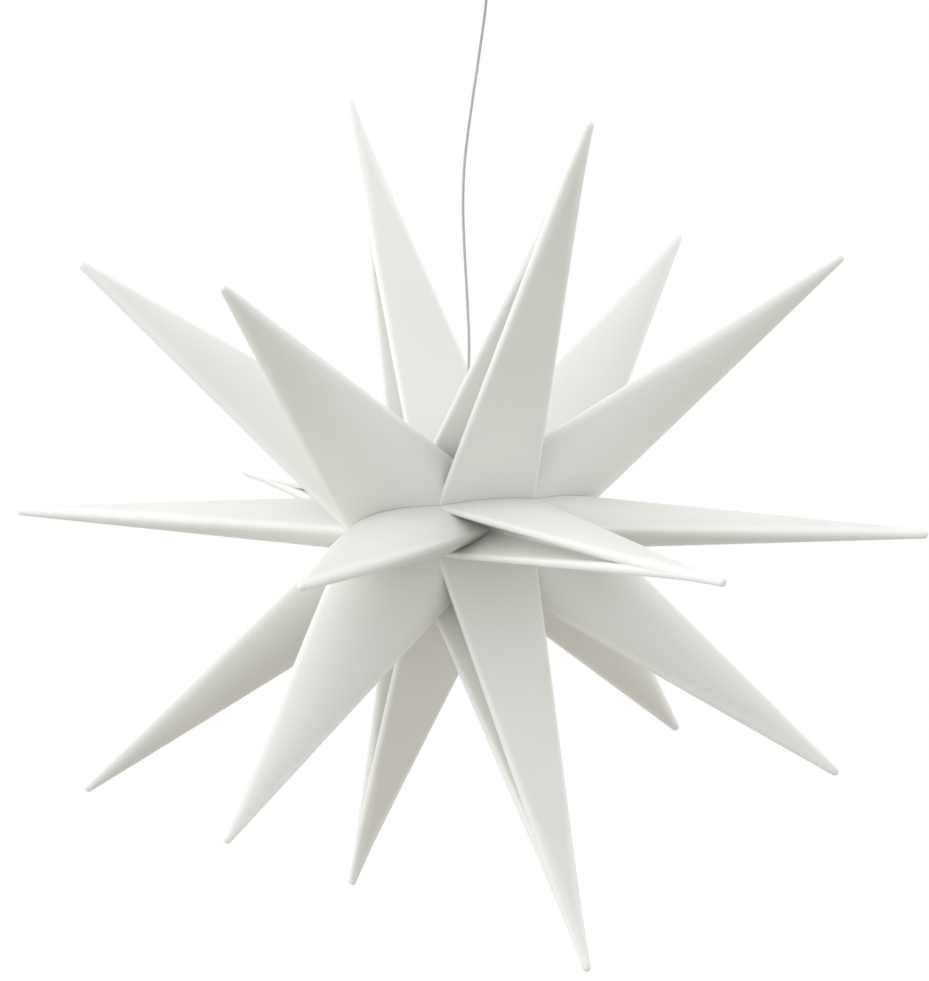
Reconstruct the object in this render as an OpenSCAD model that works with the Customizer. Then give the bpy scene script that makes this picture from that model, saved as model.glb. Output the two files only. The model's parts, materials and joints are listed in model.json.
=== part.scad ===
// Hanging star of eighteen hollow spikes, made of six folding segments.
// All sizes are in millimetres, +Z is up and the origin is the middle of the
// ceiling face. Each segment is built lying down, its middle spike along -Y,
// its long axis along X and its mid plane at Z = 0, and is then rolled into place.

/* [Star] */
// Reach of a middle spike from the star's centre
belt_reach = 285; // [250:1:320]
// Reach of a side spike from the star's centre
side_reach = 279; // [250:1:310]
// Angle between the star's long axis and a side spike
side_angle = 41.2; // [39:0.1:43]
// Radius of the rounded spike tips
tip_radius = 2.6; // [1.6:0.1:3.6]

/* [Core] */
// Half width of a middle spike at its foot
foot_half_width = 33.6; // [31:0.2:36]
// Distance from the long axis to the corner of a middle spike's foot
corner_radius = 31; // [29:0.2:33]
// Distance from the long axis to the crest of a seam
crest_radius = 35.4; // [34:0.2:39]
// Distance from the long axis to the bottom of a pleat
pleat_radius = 33; // [32:0.2:35]
// Height of the blunt edge of a middle spike at its foot
edge_height = 2.6; // [1.6:0.2:3.4]
// Distance from the centre to the pole where the side spikes meet
pole_reach = 80; // [76:1:86]
// Half thickness of a side spike halfway along its foot
side_half_thickness = 17.2; // [15:0.1:18.5]

/* [Shells] */
// Wall of the moulded half shells
wall = 1.0; // [0.8:0.1:1.4]
// Extra wall along the edges where two half shells are welded
weld_rim = 1.0; // [0.6:0.1:1.6]
// Half width of the weld along the bottom of a pleat
pleat_weld = 0.5; // [0.3:0.1:0.8]
// Gap between two neighbouring segments
seam_gap = 0.3; // [0.2:0.05:0.5]

/* [Film hinges] */
// Half length of a film hinge along its seam
hinge_half_length = 14; // [8:1:16]
// Width of each of its two leaves
hinge_leaf_width = 8; // [6:0.5:12]
// Thickness of a leaf
hinge_leaf = 0.8; // [0.6:0.1:1.2]
// Bond line between a leaf and the wall above it
leaf_bond = 0.05; // [0.03:0.01:0.1]

/* [Closing studs] */
// Distance of each stud from the lead
stud_offset = 20; // [18:0.5:22]
// Radius of a stud
stud_radius = 1.7; // [1.4:0.1:2]
// Length of a stud
stud_length = 3.6; // [2.8:0.2:4.2]
// Side of the block that a stud or socket is moulded in
stud_block = 6; // [5.6:0.2:7]
// Gap around a stud in its socket
stud_clearance = 0.35; // [0.3:0.05:0.5]

/* [Lead] */
// Diameter of the lead
lead_diameter = 1.6; // [1.4:0.1:2]
// Radius of the stop crimped on the end of the lead
stop_radius = 3; // [2.4:0.1:3.6]
// Height of that stop
stop_height = 3.2; // [2.4:0.1:4]

/* [Seam collar] */
// Radius of the neck that stands in the closing seam
neck_radius = 4; // [3.4:0.1:4.6]
// Gap between the neck and the shells that turn around it
neck_clearance = 0.4; // [0.3:0.05:0.6]
// Radius of the flange that the shells rest on
flange_radius = 9; // [8:0.2:10]
// Thickness of that flange
flange_thickness = 2.4; // [2:0.1:3]
// Gap between the flange and the shells above it
flange_clearance = 0.3; // [0.2:0.05:0.5]
// Height of the neck above the flange
neck_height = 11.5; // [10:0.5:14]
// Length of the threaded stem below the flange
stem_length = 5; // [4.5:0.1:6]
// Length of the tapered strain relief
relief_length = 14; // [10:0.5:18]
// Radius of the strain relief at its thin end
relief_tip_radius = 1.5; // [1.3:0.1:2]

/* [Lamp] */
// Radius of the lamp cap
cap_radius = 14; // [13:0.2:14.6]
// Height of the lamp cap
cap_height = 21; // [20:0.5:23]
// Thickness of the cap's top
cap_top = 3; // [2.4:0.1:3.4]
// Height of the cap's tapered shoulder
cap_shoulder = 8; // [7.5:0.1:9]
// Wall of the cap and the diffuser
lamp_wall = 1.5; // [1.2:0.1:1.8]
// Gap where the diffuser and the carrier fit the cap
lamp_fit = 0.05; // [0.03:0.01:0.1]
// Depth that the diffuser is pushed over the cap
diffuser_lap = 5; // [4:0.2:5.6]
// Distance from the cap down to the bottom of the diffuser
diffuser_length = 32; // [28:0.5:34]
// Radius of the diffuser's bottom edge
diffuser_round = 9; // [6:0.5:11]
// Width of the board carrier across its flats
carrier_width = 12; // [10:0.5:13]
// Length of the carrier below its round head
carrier_length = 32; // [28:0.5:34]
// Height of the carrier's round head
carrier_head = 5; // [4.4:0.1:5.4]
// Radius of the two screws that hold the carrier in the cap
cap_screw_radius = 1.25; // [1:0.05:1.5]
// Thickness of each light strip
strip_thickness = 0.8; // [0.6:0.1:1.2]
// Number of light chips on each strip
chips_per_strip = 4; // [3:1:4]
// Side of a light chip
chip_size = 2.8; // [2.2:0.1:3.4]

/* [Ceiling fitting] */
// Radius of the ceiling cup
cup_radius = 40; // [40:1:48]
// Height of the ceiling cup
cup_height = 26; // [25:1:34]
// Wall of the ceiling cup
cup_wall = 1.5; // [1.2:0.1:2]
// Width of the ceiling bracket
bracket_width = 16; // [14:0.5:20]
// Thickness of the bracket's sheet
bracket_sheet = 1.5; // [1.2:0.1:2]
// Depth of the bracket's two ears
ear_depth = 14; // [12:0.5:18]
// Distance between the two ceiling screws
ceiling_screw_spacing = 50; // [46:1:54]
// Width of the slots for the ceiling screws
slot_width = 4.4; // [4:0.1:5]
// Length of those slots
slot_length = 9; // [7:0.5:10]
// Radius of the two screws that hold the cup
cup_screw_radius = 1.5; // [1.5:0.1:2]
// Radius of those screws' heads
cup_screw_head = 3; // [2.8:0.1:3.6]
// Radius of the cord grip below the cup
grip_radius = 6; // [5.4:0.2:8]
// Length of the cord grip below the cup
grip_length = 12; // [10:0.5:14]
// Radius of the cord grip's thread
grip_thread_radius = 4; // [3.5:0.1:4.4]
// Height of the nut on that thread
grip_nut_height = 3; // [2.4:0.1:4]
// Length, width and height of the driver
driver_size = [34, 22, 11];
// Length, width and height of the terminal block
terminal_size = [18, 9, 9];

/* [Hidden] */
$fn = 64;

// Colours of the moulded pieces, the lead, the metal and the light chips
shell_white = "#e9eae4";
plastic_white = "#f0f0ec";
lead_grey = "#b4b5b2";
metal_grey = "#b9bbbd";
light_yellow = "#f1dc8a";

// Where the star hangs below the ceiling face
star_place = [-11.1, 6.4, -356];
// Turn of the vertical plane that the lead lies in
lead_bearing = -30;
// Route of the lead: distance across and height above the star's centre
lead_route = [
    [12.8, 343.5], [12.8, 332], [12.8, 320], [12.6, 312], [11.8, 304], [10.6, 295],
    [9.0, 284], [7.3, 272], [5.5, 260], [3.8, 248], [2.1, 236], [0.6, 224], [-0.5, 212], [-1.0, 200],
    [-1.1, 188], [-0.8, 176], [-0.3, 164], [0.4, 152], [1.1, 140], [1.7, 128],
    [2.3, 116], [2.5, 105], [2.3, 95], [1.7, 85], [1.0, 76], [0.4, 68], [0.1, 61],
    [0, 54], [0, 44], [0, 34], [0, 24]
];
lead_sides = 8;
rings_per_span = 2;

// Star geometry
segment_count = 6;
half_step = 180 / segment_count;
arc_steps = 10;
lens_steps = 16;
lens_fullness = 0.8;
reach_past = 30;

// Side spike: its virtual apex, its middle line and its half angle
side_tip = side_reach * [cos(side_angle), sin(side_angle)];
rough_half_angle = (atan2(side_tip[1], side_tip[0] - pole_reach)
    - atan2(side_tip[1] - pleat_radius, side_tip[0])) / 2;
side_over = tip_radius / sin(rough_half_angle) - tip_radius;
side_apex = (side_reach + side_over) * [cos(side_angle), sin(side_angle)];
pleat_bearing = atan2(side_apex[1] - pleat_radius, side_apex[0]);
pole_bearing = atan2(side_apex[1], side_apex[0] - pole_reach);
side_bearing = (pleat_bearing + pole_bearing) / 2;
side_half_angle = (pole_bearing - pleat_bearing) / 2;
side_run = norm(side_apex - [pole_reach, pleat_radius] / 2);
side_slope = side_half_thickness / side_run;
side_end = side_apex[1] / sin(pleat_bearing);

// Middle spike: foot corner, crest and virtual apex
foot_corner = [foot_half_width, corner_radius * cos(half_step), corner_radius * sin(half_step)];
crest = [0, crest_radius * cos(half_step), crest_radius * sin(half_step)];
belt_half_angle = atan2(foot_half_width, belt_reach - foot_corner[1]);
belt_over = tip_radius / sin(belt_half_angle) - tip_radius;
belt_apex = belt_reach + belt_over;
belt_run = belt_apex - foot_corner[1];
belt_width_slope = foot_half_width / belt_run;
belt_corner_slope = foot_corner[2] / belt_run;
belt_edge_slope = edge_height / belt_run;
crest_slope = crest[2] / (belt_apex - crest[1]);
pleat_tilt = atan2(belt_corner_slope, belt_width_slope);
pleat_wall = wall / cos(pleat_tilt);
// How far the wall's inner edge lies below the crest, along the seam
rim_drop = wall / (sin(half_step) + crest_slope * cos(half_step));

// Height of a seam's outer edge, and of the wall's inner edge, at a place along it
function crest_at(w) =
    corner_radius + (crest_radius - corner_radius) * (1 - pow(w / foot_half_width, 2));
function rim_at(w) = crest_at(w) - rim_drop;

// Slant of the wall beside a seam, and fall of the seam's edge at the studs
wall_slant = half_step + atan(crest_slope);
stud_tilt = atan((rim_at(stud_offset - 3) - rim_at(stud_offset + 3)) / 6);

// Heights in the star's own frame
flange_top = rim_at(flange_radius) - flange_clearance;
flange_bottom = flange_top - flange_thickness;
stem_bottom = flange_bottom - stem_length;
stem_radius = neck_radius + 1;
stop_bottom = stem_bottom - stop_height;
cap_bottom = flange_bottom - cap_height;
crown_radius = flange_radius + 2;
shoulder_inner = crown_radius + (cap_radius - crown_radius) * cap_top / cap_shoulder - lamp_wall;
head_bottom = cap_bottom + diffuser_lap + 0.5;
head_top = head_bottom + carrier_head;
carrier_bottom = head_bottom - carrier_length;
carrier_flat = carrier_width / 2;
diffuser_bottom = cap_bottom - diffuser_length;
diffuser_radius = cap_radius + lamp_fit + lamp_wall;
wire_offset = carrier_flat + 3.2;
grip_floor = -cup_height;

// A solid skinned over rings of equal count, the first nearest its apex
module skin(apex, rings) {
    m = len(rings[0]);
    n = len(rings);
    points = concat([apex], [for (ring = rings) for (p = ring) p]);
    fan = [for (i = [0:m - 1]) [0, 1 + i, 1 + (i + 1) % m]];
    bands = [
        for (j = [0:1:n - 2]) for (i = [0:m - 1])
        let (k = (i + 1) % m, a = 1 + j * m, b = a + m)
        each [[a + i, b + i, b + k], [a + i, b + k, a + k]]
    ];
    last = 1 + (n - 1) * m;
    cap = [for (i = [m - 1:-1:0]) last + i];
    polyhedron(points = points, faces = concat(fan, bands, [cap]));
}

// Turns a point of a segment (along, outward, up) into model axes
function laid(p) = [p[0], -p[1], p[2]];

// Distance from the virtual apex, and growth, of each ring of a rounded tip
function tip_rings(half_angle) = [
    for (a = [62, 34, half_angle])
    let (x = tip_radius / sin(half_angle) - tip_radius * sin(a))
    [x, tip_radius * cos(a) / (x * tan(half_angle))]
];

// One ring of a side spike, cut square to its middle line
function side_ring(x, growth, rim = 0, sink = 0) = [
    for (i = [0:lens_steps])
    let (
        c = -cos(180 * i / lens_steps),
        across = c * (x * tan(side_half_angle) * growth - rim),
        up = side_slope * x * growth * pow(max(0, 1 - c * c), lens_fullness) - sink
    )
    laid([
        side_apex[0] - x * cos(side_bearing) + across * sin(side_bearing),
        side_apex[1] - x * sin(side_bearing) - across * cos(side_bearing),
        up
    ])
];

module side_spike() {
    tips = tip_rings(side_half_angle);
    over = tip_radius / sin(side_half_angle) - tip_radius;
    skin(
        laid([side_apex[0] - over * cos(side_bearing), side_apex[1] - over * sin(side_bearing), 0]),
        concat([for (t = tips) side_ring(t[0], t[1])], [side_ring(side_end, 1)])
    );
}

module side_hollow() {
    start = (wall + 0.8) / side_slope;
    skin(
        laid([
            side_apex[0] - (start - 2) * cos(side_bearing),
            side_apex[1] - (start - 2) * sin(side_bearing),
            -wall
        ]),
        [side_ring(start, 1, weld_rim, wall), side_ring(side_end, 1, weld_rim, wall)]
    );
}

// One ring of half a middle spike: the broad face's arc, then its blunt edges and the
// pleat's bottom
function belt_ring(x, growth, skin_wall = 0) =
    let (
        half = x * belt_width_slope,
        corner = x * belt_corner_slope,
        rise = x * (crest_slope - belt_corner_slope),
        inset = skin_wall == 0 ? 0 : (skin_wall + pleat_wall) / belt_corner_slope * belt_width_slope,
        top = [
            for (i = [0:arc_steps])
            let (w = (2 * i / arc_steps - 1) * (half - inset))
            laid([w * growth, belt_apex - x,
                (corner + rise * (1 - pow(w / half, 2)) - skin_wall) * growth])
        ],
        edge = corner - x * belt_edge_slope
    )
    concat(top, skin_wall == 0
        ? [
            for (p = [[half, edge], [pleat_weld, 0], [-pleat_weld, 0], [-half, edge]])
            laid([p[0] * growth, belt_apex - x, p[1] * growth])
        ]
        : [laid([0, belt_apex - x, pleat_wall])]);

module belt_spike() {
    tips = tip_rings(belt_half_angle);
    skin(
        laid([0, belt_reach, 0.2]),
        concat([for (t = tips) belt_ring(t[0], t[1])], [belt_ring(belt_apex, 1)])
    );
}

module belt_hollow() {
    start = (wall + pleat_wall + 0.5) / belt_corner_slope;
    skin(
        laid([0, belt_apex - start + 2, pleat_wall + 0.1]),
        [belt_ring(start, 1, wall), belt_ring(belt_apex, 1, wall)]
    );
}

// The space of half a segment, from its mid plane to the next seam
module half_space(gap = seam_gap / 2) {
    start = gap / sin(half_step);
    far = belt_reach + reach_past;
    rotate([90, 0, 90])
        linear_extrude(height = 2 * far, center = true)
            polygon([[-start, 0], [-far, 0], [-far, (far - start) * tan(half_step)]]);
}

module both_ends() {
    children();
    mirror([1, 0, 0]) children();
}

// Half shell of one segment, lying down with its seam upwards
module half_shell() {
    difference() {
        intersection() {
            union() {
                both_ends() side_spike();
                belt_spike();
            }
            half_space();
        }
        both_ends() side_hollow();
        belt_hollow();
    }
}

// Rolls a segment, or one half of it, into its place around the long axis
module at_star() {
    translate(star_place) children();
}

function roll_of(i) = 2 * half_step - 2 * half_step * (i - 1);

module placed(i, lower) {
    at_star()
        rotate([-roll_of(i), 0, 0])
            mirror([0, 0, lower ? 1 : 0])
                children();
}

module segment_shell(i, lower) {
    closing = (i == 1 && !lower) || (i == segment_count && lower);
    color(shell_white)
        difference() {
            placed(i, lower) half_shell();
            if (closing)
                at_star() cylinder(r = neck_radius + neck_clearance, h = 2 * crest_radius);
        }
}

// Leaf of a film hinge, welded under the broad face along the seam
module hinge_leaf_body() {
    intersection() {
        difference() {
            translate([0, 0, -wall - leaf_bond]) belt_spike();
            translate([0, 0, -wall - leaf_bond - hinge_leaf]) belt_spike();
        }
        half_space();
        translate([-hinge_half_length, -crest[1] - hinge_leaf_width, 0])
            cube([2 * hinge_half_length, hinge_leaf_width + 4, crest_radius]);
    }
}

// The upper leaf sits on the lower half of segment i, the lower leaf on segment i + 1
module hinge_leaf_upper(i) {
    color(plastic_white) placed(i, true) hinge_leaf_body();
}

module hinge_leaf_lower(i) {
    color(plastic_white) placed(i + 1, false) hinge_leaf_body();
}

// Moves a stud's or socket's parts to their two places under the closing seam
module at_studs() {
    at_star()
        for (side = [-1, 1])
            translate([side * stud_offset, 0, rim_at(stud_offset)])
                rotate([0, side * stud_tilt, 0])
                    children();
}

// Block beside the seam, its slanted face welded to the wall
module stud_block_body() {
    face = seam_gap / 2;
    sunk = 0.05;
    rise = (stud_block - 1.5) / tan(wall_slant) + sunk;
    rotate([90, 0, 90])
        linear_extrude(height = stud_block, center = true)
            polygon([
                [face, -stud_block], [stud_block, -stud_block], [stud_block, rise],
                [stud_block - 1.5, rise], [face, face / tan(wall_slant) + sunk]
            ]);
}

module closing_sockets() {
    color(plastic_white)
        at_studs()
            difference() {
                mirror([0, 1, 0]) stud_block_body();
                translate([0, 1, -stud_block / 2])
                    rotate([90, 0, 0])
                        cylinder(r = stud_radius + stud_clearance, h = stud_length + 2);
            }
}

module closing_studs() {
    color(plastic_white)
        at_studs() {
            stud_block_body();
            translate([0, 1, -stud_block / 2])
                rotate([90, 0, 0]) {
                    cylinder(r = stud_radius, h = stud_length - 0.6);
                    translate([0, 0, stud_length - 0.6])
                        cylinder(r1 = stud_radius, r2 = stud_radius - 0.8, h = 1.6);
                }
        }
}

// Collar that the closing seam shuts around and rests on; the lead passes down it
module seam_collar() {
    color(plastic_white)
        at_star()
            rotate_extrude()
                polygon([
                    [lead_diameter / 2 + 0.1, stem_bottom], [stem_radius, stem_bottom],
                    [stem_radius, flange_bottom], [flange_radius, flange_bottom],
                    [flange_radius, flange_top - 0.6], [flange_radius - 0.6, flange_top],
                    [neck_radius, flange_top], [neck_radius, flange_top + neck_height],
                    [lead_diameter / 2 + 0.1, flange_top + neck_height]
                ]);
}

// Tapered strain relief on top of the collar
module strain_relief() {
    bore = lead_diameter / 2 + 0.1;
    color(lead_grey)
        at_star()
            translate([0, 0, flange_top + neck_height])
                rotate_extrude()
                    polygon([
                        [bore, 0], [neck_radius, 0], [neck_radius, 1.5],
                        [(neck_radius + relief_tip_radius) / 2, relief_length / 2],
                        [relief_tip_radius, relief_length - 1],
                        [relief_tip_radius - 0.3, relief_length], [bore, relief_length]
                    ]);
}

// Holes across the lamp for the two screws, in the middle of the carrier's head
module cap_screw_holes(radius) {
    translate([0, 0, (head_bottom + head_top) / 2])
        rotate([0, 90, 0])
            cylinder(r = radius, h = 2 * cap_radius + 2, center = true);
}

// Cap of the lamp, screwed on the collar's stem
module lamp_cap() {
    color(plastic_white)
        at_star()
            difference() {
                rotate_extrude()
                    polygon([
                        [stem_radius, flange_bottom - cap_top], [stem_radius, flange_bottom],
                        [crown_radius, flange_bottom], [cap_radius, flange_bottom - cap_shoulder],
                        [cap_radius, cap_bottom], [cap_radius - lamp_wall, cap_bottom],
                        [cap_radius - lamp_wall, flange_bottom - cap_shoulder - 0.4],
                        [shoulder_inner, flange_bottom - cap_top]
                    ]);
                cap_screw_holes(cap_screw_radius + 0.1);
            }
}

module cap_screws() {
    color(metal_grey)
        at_star()
            for (side = [0, 1])
                mirror([side, 0, 0])
                    translate([cap_radius, 0, (head_bottom + head_top) / 2])
                        rotate([0, 90, 0]) {
                            translate([0, 0, -5]) cylinder(r = cap_screw_radius, h = 5);
                            cylinder(r1 = 2 * cap_screw_radius, r2 = 1.5 * cap_screw_radius, h = 1);
                        }
}

// Six-sided carrier that the light strips are stuck on, with a round head in the cap
module board_carrier() {
    color(metal_grey)
        at_star()
            difference() {
                union() {
                    translate([0, 0, carrier_bottom])
                        cylinder(r = carrier_flat / cos(30), h = carrier_length + 1, $fn = 6);
                    translate([0, 0, head_bottom])
                        cylinder(r = cap_radius - lamp_wall - lamp_fit, h = carrier_head);
                }
                for (side = [-1, 1])
                    translate([0, side * wire_offset, head_bottom - 1])
                        cylinder(r = 1.1, h = carrier_head + 2);
                difference() {
                    cap_screw_holes(cap_screw_radius);
                    cylinder(r = cap_radius - 5, h = 2 * crest_radius, center = true);
                }
            }
}

module light_strips() {
    color("#f4f4f0")
        at_star()
            for (k = [0:5])
                rotate([0, 0, 60 * k + 30])
                    translate([carrier_flat, -2.6, carrier_bottom + 1])
                        cube([strip_thickness, 5.2, carrier_length - 2]);
}

module light_chips() {
    pitch = (carrier_length - 3) / chips_per_strip;
    color(light_yellow)
        at_star()
            for (k = [0:5]) for (j = [0:chips_per_strip - 1])
                rotate([0, 0, 60 * k + 30])
                    translate([
                        carrier_flat + strip_thickness, -chip_size / 2,
                        carrier_bottom + 1.5 + pitch * (j + 0.5) - chip_size / 2
                    ])
                        cube([0.9, chip_size, chip_size]);
}

// Profile of the diffuser: a tube with a rounded bottom
module diffuser_profile(radius, bottom, round, top) {
    difference() {
        union() {
            translate([0, bottom + round]) square([radius, top - bottom - round]);
            translate([0, bottom]) square([radius - round, round + 1]);
            translate([radius - round, bottom + round]) circle(r = round);
        }
        translate([-radius, bottom - 1]) square([radius, top - bottom + 2]);
    }
}

// Frosted globe pushed over the cap's lower edge
module diffuser() {
    color([0.96, 0.96, 0.93, 0.7])
        at_star()
            rotate_extrude()
                difference() {
                    diffuser_profile(diffuser_radius, diffuser_bottom, diffuser_round,
                        cap_bottom + diffuser_lap);
                    diffuser_profile(diffuser_radius - lamp_wall, diffuser_bottom + lamp_wall,
                        diffuser_round - lamp_wall, cap_bottom + diffuser_lap + 1);
                }
}

// Two thin cores from the lead's stop down to the holes in the carrier's head
module lamp_wires() {
    color(lead_grey)
        at_star()
            for (side = [-1, 1]) {
                hull() {
                    translate([0, side * 1.4, stop_bottom - 0.8])
                        cylinder(r = 0.5, h = 0.8, $fn = 16);
                    translate([0, side * wire_offset, head_top + 0.1])
                        cylinder(r = 0.5, h = 0.8, $fn = 16);
                }
                translate([0, side * wire_offset, head_bottom])
                    cylinder(r = 0.5, h = carrier_head + 0.5, $fn = 16);
            }
}

// Crimped stop that the collar and the lamp hang on
module lead_stop() {
    color(metal_grey)
        at_star()
            translate([0, 0, stop_bottom])
                rotate_extrude()
                    polygon([
                        [0, 0], [stop_radius - 0.6, 0], [stop_radius, 0.6],
                        [stop_radius, stop_height - 0.6], [stop_radius - 0.6, stop_height],
                        [0, stop_height]
                    ]);
}

// Smooth curve through the route's points
function spline(a, b, c, d, t) =
    0.5 * (2 * b + (c - a) * t + (2 * a - 5 * b + 4 * c - d) * t * t
        + (3 * b - a - 3 * c + d) * t * t * t);

function route_point(i) = lead_route[max(0, min(len(lead_route) - 1, i))];

function lead_path() = [
    for (i = [0:len(lead_route) - 2]) for (j = [0:rings_per_span - 1])
        spline(route_point(i - 1), route_point(i), route_point(i + 1), route_point(i + 2),
            j / rings_per_span),
    lead_route[len(lead_route) - 1]
];

module lead() {
    path = lead_path();
    count = len(path);
    radius = lead_diameter / 2 / cos(180 / lead_sides);
    rings = [
        for (i = [0:count - 1])
        let (
            ahead = path[min(count - 1, i + 1)] - path[max(0, i - 1)],
            along = ahead / norm(ahead),
            side = [-along[1], along[0]]
        )
        [
            for (k = [0:lead_sides - 1])
            let (
                a = 360 * (k + 0.5) / lead_sides,
                out = radius * cos(a),
                over = radius * sin(a)
            )
            [path[i][0] + side[0] * out, over, path[i][1] + side[1] * out]
        ]
    ];
    flat = [for (ring = rings) for (p = ring) p];
    first = [for (k = [0:lead_sides - 1]) k];
    last = [for (k = [lead_sides - 1:-1:0]) (count - 1) * lead_sides + k];
    walls = [
        for (i = [0:count - 2]) for (k = [0:lead_sides - 1])
        let (n = (k + 1) % lead_sides, a = i * lead_sides, b = a + lead_sides)
        each [[a + k, b + n, a + n], [a + k, b + k, b + n]]
    ];
    color(lead_grey)
        at_star()
            rotate([0, 0, lead_bearing])
                polyhedron(points = flat, faces = concat([first], walls, [last]));
}

module ceiling_cup() {
    color(plastic_white)
        difference() {
            union() {
                translate([0, 0, -cup_height + 3]) cylinder(r = cup_radius, h = cup_height - 3);
                translate([0, 0, -cup_height]) cylinder(r1 = cup_radius - 3, r2 = cup_radius, h = 3);
            }
            translate([0, 0, -cup_height + cup_wall])
                cylinder(r = cup_radius - cup_wall - 2, h = 3);
            translate([0, 0, -cup_height + cup_wall + 2])
                cylinder(r = cup_radius - cup_wall, h = cup_height);
            translate([0, 0, -cup_height - 1])
                cylinder(r = grip_thread_radius + 0.2, h = cup_wall + 2);
            rotate([0, 90, 0])
                translate([ear_depth - 4, 0, -cup_radius - 1])
                    cylinder(r = cup_screw_radius + 0.3, h = 2 * cup_radius + 2);
        }
}

module screw_slot() {
    half = (slot_length - slot_width) / 2;
    for (side = [-1, 1])
        translate([side * half, 0, 0]) cylinder(d = slot_width, h = 3 * bracket_sheet, center = true);
    cube([2 * half, slot_width, 3 * bracket_sheet], center = true);
}

// Sheet bracket: a strap on the ceiling with two ears bent down for the cup screws
module ceiling_bracket() {
    half = cup_radius - cup_wall - 0.1;
    color(metal_grey)
        difference() {
            union() {
                translate([-half, -bracket_width / 2, -bracket_sheet])
                    cube([2 * half, bracket_width, bracket_sheet]);
                intersection() {
                    for (side = [-1, 1])
                        translate([side * (half - bracket_sheet / 2) - bracket_sheet / 2,
                            -bracket_width / 2, -ear_depth])
                            cube([bracket_sheet, bracket_width, ear_depth]);
                    translate([0, 0, -ear_depth - 1]) cylinder(r = half, h = ear_depth + 2);
                }
            }
            for (side = [-1, 1])
                translate([side * ceiling_screw_spacing / 2, 0, 0]) screw_slot();
            rotate([0, 90, 0])
                translate([ear_depth - 4, 0, -half - 1])
                    cylinder(r = cup_screw_radius, h = 2 * half + 2);
            difference() {
                translate([0, 0, -bracket_sheet - 1])
                    cylinder(r = cup_radius + bracket_width, h = bracket_sheet + 2);
                translate([0, 0, -bracket_sheet - 2]) cylinder(r = half, h = bracket_sheet + 4);
            }
        }
}

module cup_screws() {
    color(metal_grey)
        for (side = [-1, 1])
            mirror([side < 0 ? 1 : 0, 0, 0])
                translate([cup_radius, 0, 4 - ear_depth])
                    rotate([0, 90, 0]) {
                        translate([0, 0, -6]) cylinder(r = cup_screw_radius, h = 6);
                        difference() {
                            cylinder(r = cup_screw_head, h = 1.6);
                            translate([-cup_screw_head, -0.4, 1]) cube([2 * cup_screw_head, 0.8, 1]);
                        }
                    }
}

// Cord grip under the cup, with its threaded stem
module cord_grip() {
    bore = lead_diameter / 2 + 0.1;
    color(plastic_white)
        translate([0, 0, grip_floor])
            rotate_extrude()
                polygon([
                    [bore, -grip_length], [grip_radius - 3, -grip_length],
                    [grip_radius, -grip_length + 5], [grip_radius, 0], [grip_thread_radius, 0],
                    [grip_thread_radius, cup_wall + grip_nut_height + 1],
                    [bore, cup_wall + grip_nut_height + 1]
                ]);
}

module grip_nut() {
    color(metal_grey)
        translate([0, 0, grip_floor + cup_wall])
            difference() {
                cylinder(r = grip_thread_radius + 3, h = grip_nut_height, $fn = 6);
                translate([0, 0, -1]) cylinder(r = grip_thread_radius, h = grip_nut_height + 2);
            }
}

// Driver glued under the bracket's strap
module lead_driver() {
    color("#e6e6e2")
        translate([-driver_size[0] / 2, -driver_size[1] / 2, -bracket_sheet - driver_size[2]])
            cube(driver_size);
}

module terminal_block() {
    color("#f4f4ee")
        translate([-terminal_size[0] / 2, driver_size[1] / 2, -bracket_sheet - terminal_size[2]])
            difference() {
                cube(terminal_size);
                for (column = [-1, 0, 1])
                    translate([terminal_size[0] / 2 + 5.6 * column, -1, 3]) {
                        rotate([-90, 0, 0]) cylinder(r = 1.4, h = terminal_size[1] + 2);
                        translate([0, 1 + terminal_size[1] / 2, -4]) cylinder(r = 1.2, h = 4);
                    }
            }
}

segment_shell(1, false);  // segment_1_shell_a
segment_shell(1, true);  // segment_1_shell_b
segment_shell(2, false);  // segment_2_shell_a
segment_shell(2, true);  // segment_2_shell_b
segment_shell(3, false);  // segment_3_shell_a
segment_shell(3, true);  // segment_3_shell_b
segment_shell(4, false);  // segment_4_shell_a
segment_shell(4, true);  // segment_4_shell_b
segment_shell(5, false);  // segment_5_shell_a
segment_shell(5, true);  // segment_5_shell_b
segment_shell(6, false);  // segment_6_shell_a
segment_shell(6, true);  // segment_6_shell_b
hinge_leaf_upper(1);  // hinge_1_2_upper_leaf
hinge_leaf_lower(1);  // hinge_1_2_lower_leaf
hinge_leaf_upper(2);  // hinge_2_3_upper_leaf
hinge_leaf_lower(2);  // hinge_2_3_lower_leaf
hinge_leaf_upper(3);  // hinge_3_4_upper_leaf
hinge_leaf_lower(3);  // hinge_3_4_lower_leaf
hinge_leaf_upper(4);  // hinge_4_5_upper_leaf
hinge_leaf_lower(4);  // hinge_4_5_lower_leaf
hinge_leaf_upper(5);  // hinge_5_6_upper_leaf
hinge_leaf_lower(5);  // hinge_5_6_lower_leaf
closing_sockets();
closing_studs();
seam_collar();
strain_relief();
lamp_cap();
cap_screws();
board_carrier();
light_strips();
light_chips();
diffuser();
lamp_wires();
lead();
lead_stop();
ceiling_cup();
ceiling_bracket();
cup_screws();
cord_grip();
grip_nut();
lead_driver();
terminal_block();
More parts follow.
